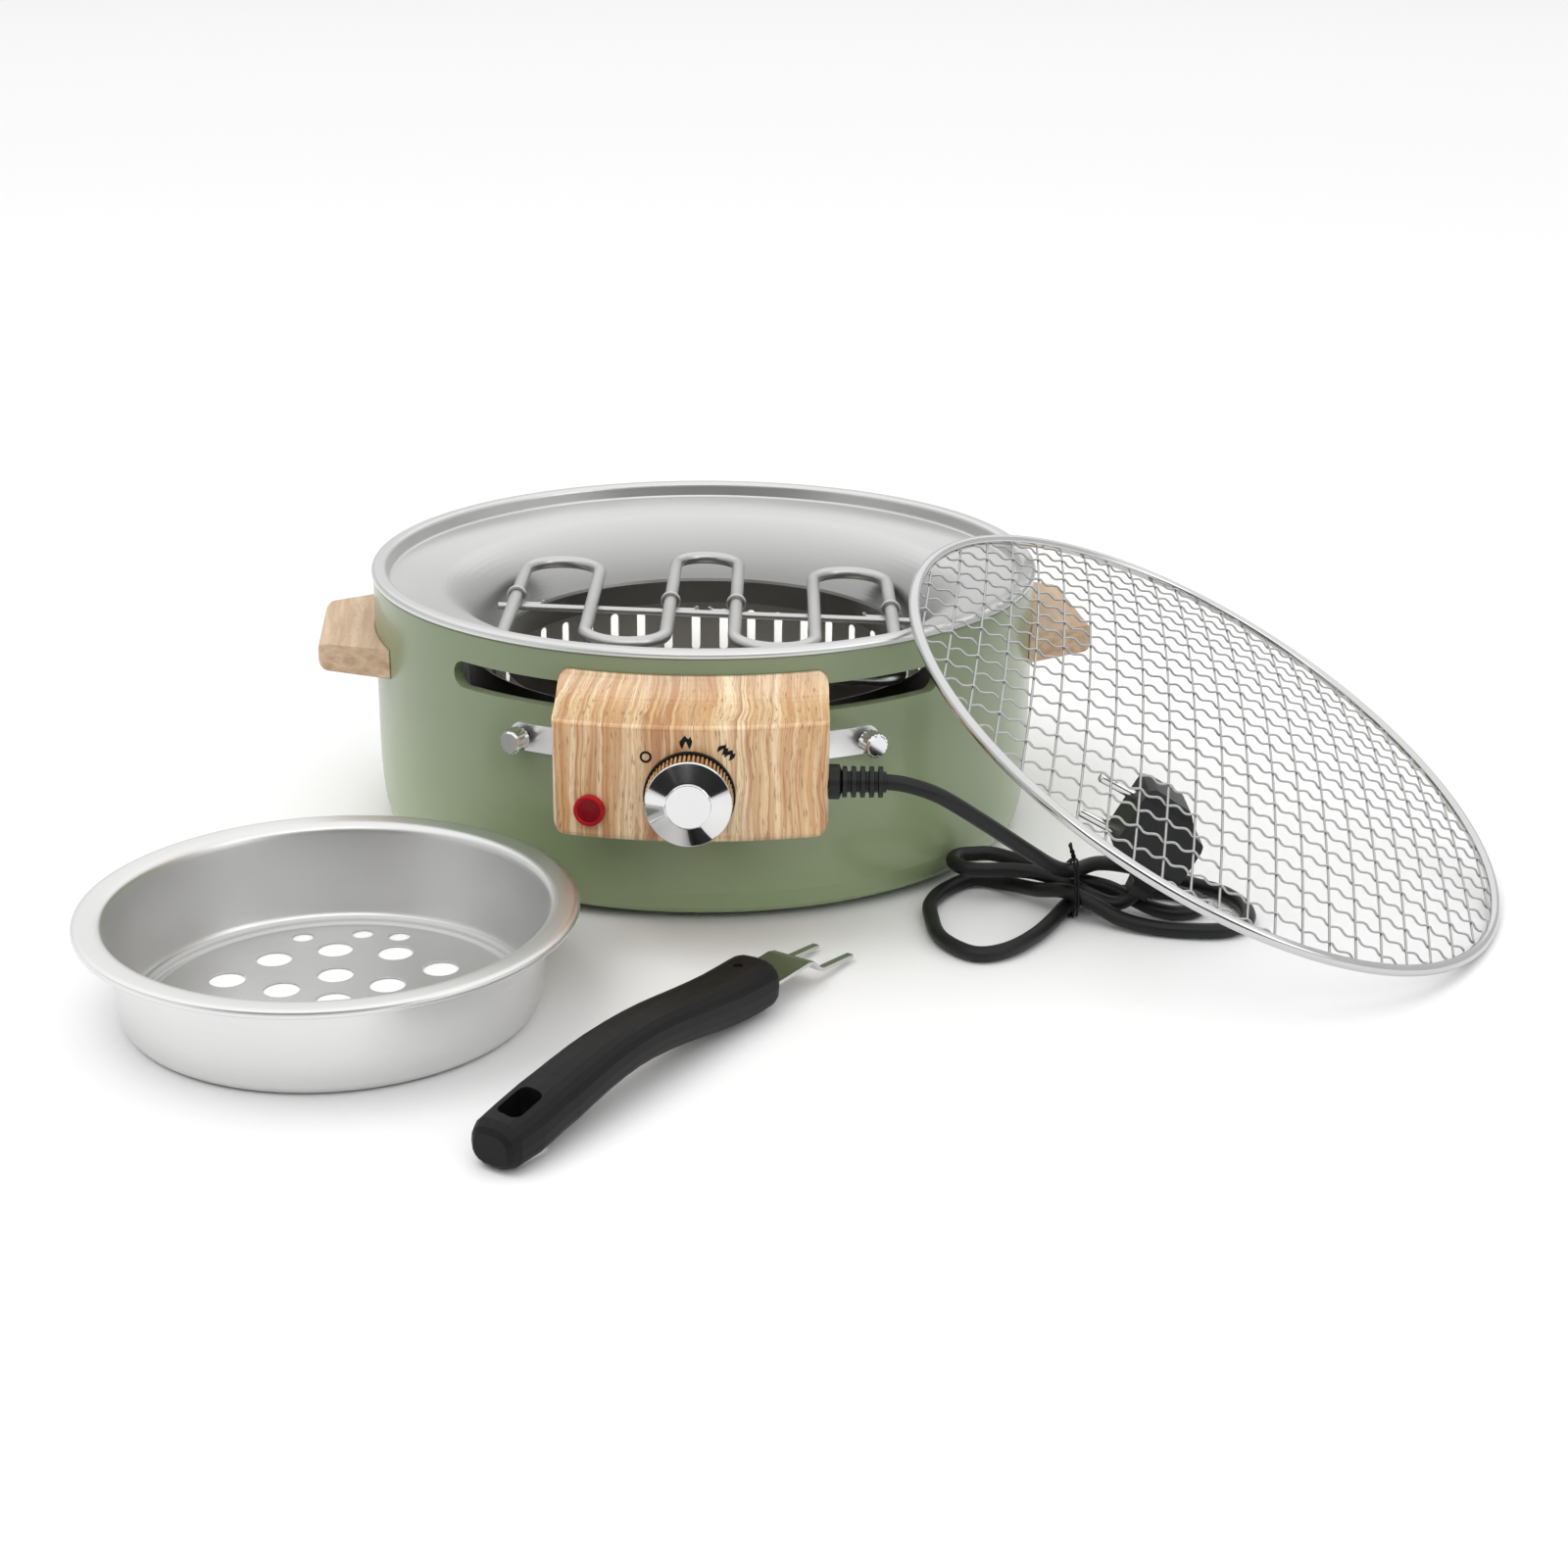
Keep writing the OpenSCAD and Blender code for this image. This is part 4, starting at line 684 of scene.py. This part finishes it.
def make_crimped():
    place, half_wave = grate_frame(), MESH_PITCH / HALF_WAVES
    rows = int(MESH_R / MESH_PITCH - 0.15)
    lines = []
    for i in range(-rows, rows + 1):
        o = i * MESH_PITCH
        c = math.sqrt(MESH_R ** 2 - (abs(o) + MESH_D / 2) ** 2)
        n = int(2 * c / half_wave * WAVE_STEPS)
        line = []
        for j in range(n + 1):
            x = -c + 2 * c * j / n
            even = 0.88 + 0.12 * math.cos(2 * math.pi * x / MESH_PITCH)
            wave = WAVE * math.cos(math.pi * x / half_wave) * even
            dome = math.sqrt(DOME_R ** 2 - x * x - o * o) - DOME_R + MESH_RISE
            line.append((place @ Vector((x, o, dome + (wave if i % 2 == 0 else -wave)))) * MM)
        lines.append(line)
    return tube("grate_wires_waved", lines, MESH_D / 2 * MM, sides=2)


# Charcoal bowl: a pressed sheet with a stiffening bead, a steep wall and a wide flange with a rolled edge.
# The line is the sheet's middle, as radius and height, from the floor to the rolled edge, in millimetres.
BOWL_T = 0.8
BOWL_N = 144
BOWL_FLOOR_R = 79.0
BOWL_FLOOR_Z = 0.5
BOWL_LINE = [
    (BOWL_FLOOR_R, BOWL_FLOOR_Z), (80.0, 0.55), (80.6, 0.9), (81.2, 1.55), (81.9, 1.8), (82.6, 1.55),
    (83.2, 0.95), (83.9, 0.7), (85.2, 1.05), (86.6, 1.95), (87.6, 3.3), (88.15, 4.9), (89.3, 14.0),
    (90.6, 24.0), (91.9, 34.0), (92.7, 40.0), (93.1, 42.4), (93.9, 43.8), (95.2, 44.5), (97.0, 44.7),
    (102.6, 44.8), (103.6, 44.8), (104.66, 44.36), (105.1, 43.3), (104.95, 42.6), (104.35, 42.0),
]
# Holes in the floor: distance from the middle, angle in degrees, radius
HOLE_N = 40
HOLE_R, SMALL_HOLE_R = 8.0, 5.0
BOWL_HOLES = ([(0.0, 0.0, HOLE_R)]
              + [(26.0, 38.0 + 60 * i, HOLE_R) for i in range(6)]
              + [(53.1, 9.0 + 30 * i, HOLE_R) for i in range(12)]
              + [(70.0, a, SMALL_HOLE_R) for a in (75.0, 89.0, 111.0)])


def make_bowl():
    bm = bmesh.new()
    centre = Vector(BOWL_AT)

    def vert(x, y, z):
        return bm.verts.new(centre + Vector((x, y, z + STAND)) * MM)

    def floor_rows(points):
        return [[vert(q.x, q.y, BOWL_FLOOR_Z + h) for q in points] for h in (BOWL_T / 2, -BOWL_T / 2)]

    # floor: two sheets cut by the holes, and the holes' edges
    holes = []
    for far, turn, r in BOWL_HOLES:
        a = math.radians(turn)
        holes.append((Vector((far * math.cos(a), far * math.sin(a))), r))
    edges, flat = [], []
    for loop in [circle(0, 0, BOWL_FLOOR_R, BOWL_N)] + [circle(c.x, c.y, r, HOLE_N) for c, r in holes]:
        first = len(flat)
        edges += [(first + i, first + (i + 1) % len(loop)) for i in range(len(loop))]
        flat += loop
    points, _, faces, _, _, _ = delaunay_2d_cdt(flat, edges, [], 1, 1e-6)
    top, low = floor_rows(points)
    for face in faces:
        mid = sum((points[i] for i in face), Vector((0, 0))) / len(face)
        if all((mid - c).length > r for c, r in holes):
            bm.faces.new([top[i] for i in face])
            bm.faces.new([low[i] for i in reversed(face)])
    for c, r in holes:
        top, low = floor_rows(circle(c.x, c.y, r, HOLE_N))
        bridge(bm, (low, top))

    # wall: the line set off to both sides, turned round the axis and closed at the rolled edge
    line = [Vector(q) for q in BOWL_LINE]
    both = ([], [])
    for i, q in enumerate(line):
        along = (line[min(i + 1, len(line) - 1)] - line[max(i - 1, 0)]).normalized()
        if i == 0:
            along = Vector((1, 0))
        for rows, side in zip(both, (1, -1)):
            rows.append(q + Vector((-along.y, along.x)) * (side * BOWL_T / 2))
    turns = circle(0, 0, 1, BOWL_N)
    bridge(bm, [[vert(q.x * d.x, q.x * d.y, q.y) for d in turns] for q in both[0] + both[1][::-1]])
    bmesh.ops.remove_doubles(bm, verts=bm.verts, dist=1e-6)
    return mesh_object("pressed_bowl", bm, 35)


bowl = make_bowl()
dress(bowl, "bowl_steel")
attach(bowl, "bowl")
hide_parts("charcoal_bowl")

waved = make_crimped()
dress(waved, "grate_wire")
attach(waved, "grate")
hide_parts("grate_wires_crimped")

tie = make_tie()
dress(tie, "black_plastic")
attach(tie, "grill_body")
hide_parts("cord_tie")

SCENE.view_settings.view_transform = "Standard"


# Floor, lights and surroundings
FLOOR_HALF = 14.0

# Grey levels of the surroundings by height, from straight down to straight up,
# and the band's share by depth, from front to back
BAND_BY_HEIGHT = [(0.0, 1), (0.5, 1), (0.506, 0.03), (0.665, 0.04), (0.7, 1), (1.0, 1)]
BAND_BY_DEPTH = [(0.0, 1), (0.09, 1), (0.17, 0.0), (1.0, 0.0)]
WORLD_GREY = (0.9, 0.9, 0.9, 1)
WORLD_STRENGTH = 0.85

# Lights: place, aim and size in metres, and watts
KEY = ((-0.9, -0.7, 2.1), (0, -0.1, 0.05), (1.4, 1.4), 14)
CEILING = ((0.0, 4.6, 6.0), (0, 4.6, 0), (16.0, 22.2), 566)
FILL = ((2.0, -1.3, 1.1), (0, -0.1, 0.08), (1.0, 1.0), 5)
FRONT = ((0.3, -2.6, 1.9), (0, -0.1, 0.05), (3.0, 1.2), 12)

# Small lights between liner and drum, which face the drum's back wall
GLOW_TURNS = range(-60, 61, 20)
GLOW_R, GLOW_SIZE, GLOW_POWER = 0.123, (0.044, 0.04), 0.016
GLOW_UP = Vector((0, 0, 0.05))


def make_floor():
    mesh = bpy.data.meshes.new("floor")
    s = FLOOR_HALF
    mesh.from_pydata([(-s, -s, 0), (s, -s, 0), (s, s, 0), (-s, s, 0)], [], [(0, 1, 2, 3)])
    obj = bpy.data.objects.new("floor", mesh)
    SCENE.collection.objects.link(obj)
    k = Look("floor_paper", (0.86, 0.86, 0.86, 1), 0.6)
    k.bump(k.noise(k.place(), 400.0, 2.0), 0.02, 0.0005)
    mesh.materials.append(k.mat)


def soft_box(name, at, aim, size, power):
    data = bpy.data.lights.new(name, "AREA")
    data.shape = "RECTANGLE"
    data.size, data.size_y = size
    data.energy = power
    obj = bpy.data.objects.new(name, data)
    obj.location = at
    obj.rotation_euler = (Vector(aim) - Vector(at)).to_track_quat("-Z", "Y").to_euler()
    SCENE.collection.objects.link(obj)
    return obj


def make_world():
    """White surroundings with a darker band low in front, which polished metal mirrors."""
    world = bpy.data.worlds.new("studio")
    SCENE.world = world
    world.use_nodes = True
    tree = world.node_tree
    back = tree.nodes["Background"]
    tc = tree.nodes.new("ShaderNodeTexCoord")
    sep = tree.nodes.new("ShaderNodeSeparateXYZ")
    tree.links.new(tc.outputs["Generated"], sep.inputs["Vector"])

    def span(source, low, high, start=0.0, end=1.0):
        n = tree.nodes.new("ShaderNodeMapRange")
        for key, value in zip(("From Min", "From Max", "To Min", "To Max"), (low, high, start, end)):
            n.inputs[key].default_value = value
        tree.links.new(source, n.inputs["Value"])
        return n.outputs["Result"]

    def ramp(source, stops):
        n = tree.nodes.new("ShaderNodeValToRGB")
        while len(n.color_ramp.elements) < len(stops):
            n.color_ramp.elements.new(0.5)
        for e, (pos, g) in zip(n.color_ramp.elements, stops):
            e.position, e.color = pos, (g, g, g, 1)
        tree.links.new(span(source, -1.0, 1.0), n.inputs["Fac"])
        return n.outputs["Color"]

    def combine(kind, a, b):
        n = tree.nodes.new("ShaderNodeMath")
        n.operation = kind
        tree.links.new(a, n.inputs[0])
        tree.links.new(b, n.inputs[1])
        return n.outputs[0]

    # the band reaches higher straight in front, where the knob's slope mirrors it
    x, y, z = sep.outputs
    in_front = span(combine("MULTIPLY", x, x), 0.0, 0.1, 0.2, 0.0)
    lift = combine("MULTIPLY", in_front, span(z, 0.1, 0.3))
    mix = tree.nodes.new("ShaderNodeMix")
    mix.data_type = "RGBA"
    mix.inputs[6].default_value = WORLD_GREY
    tree.links.new(ramp(y, BAND_BY_DEPTH), mix.inputs[0])
    tree.links.new(ramp(combine("SUBTRACT", z, lift), BAND_BY_HEIGHT), mix.inputs[7])
    tree.links.new(mix.outputs[2], back.inputs["Color"])
    back.inputs["Strength"].default_value = WORLD_STRENGTH


make_floor()
make_world()

# the key stays out of mirror reflections, so that the pan's back wall isn't white
soft_box("key", *KEY).visible_glossy = False
soft_box("ceiling", *CEILING)
soft_box("fill", *FILL)
for turn in GLOW_TURNS:
    outward = Vector((math.sin(math.radians(turn)), math.cos(math.radians(turn)), 0))
    soft_box("slot_glow", outward * GLOW_R + GLOW_UP, outward + GLOW_UP, GLOW_SIZE, GLOW_POWER)
soft_box("front", *FRONT)
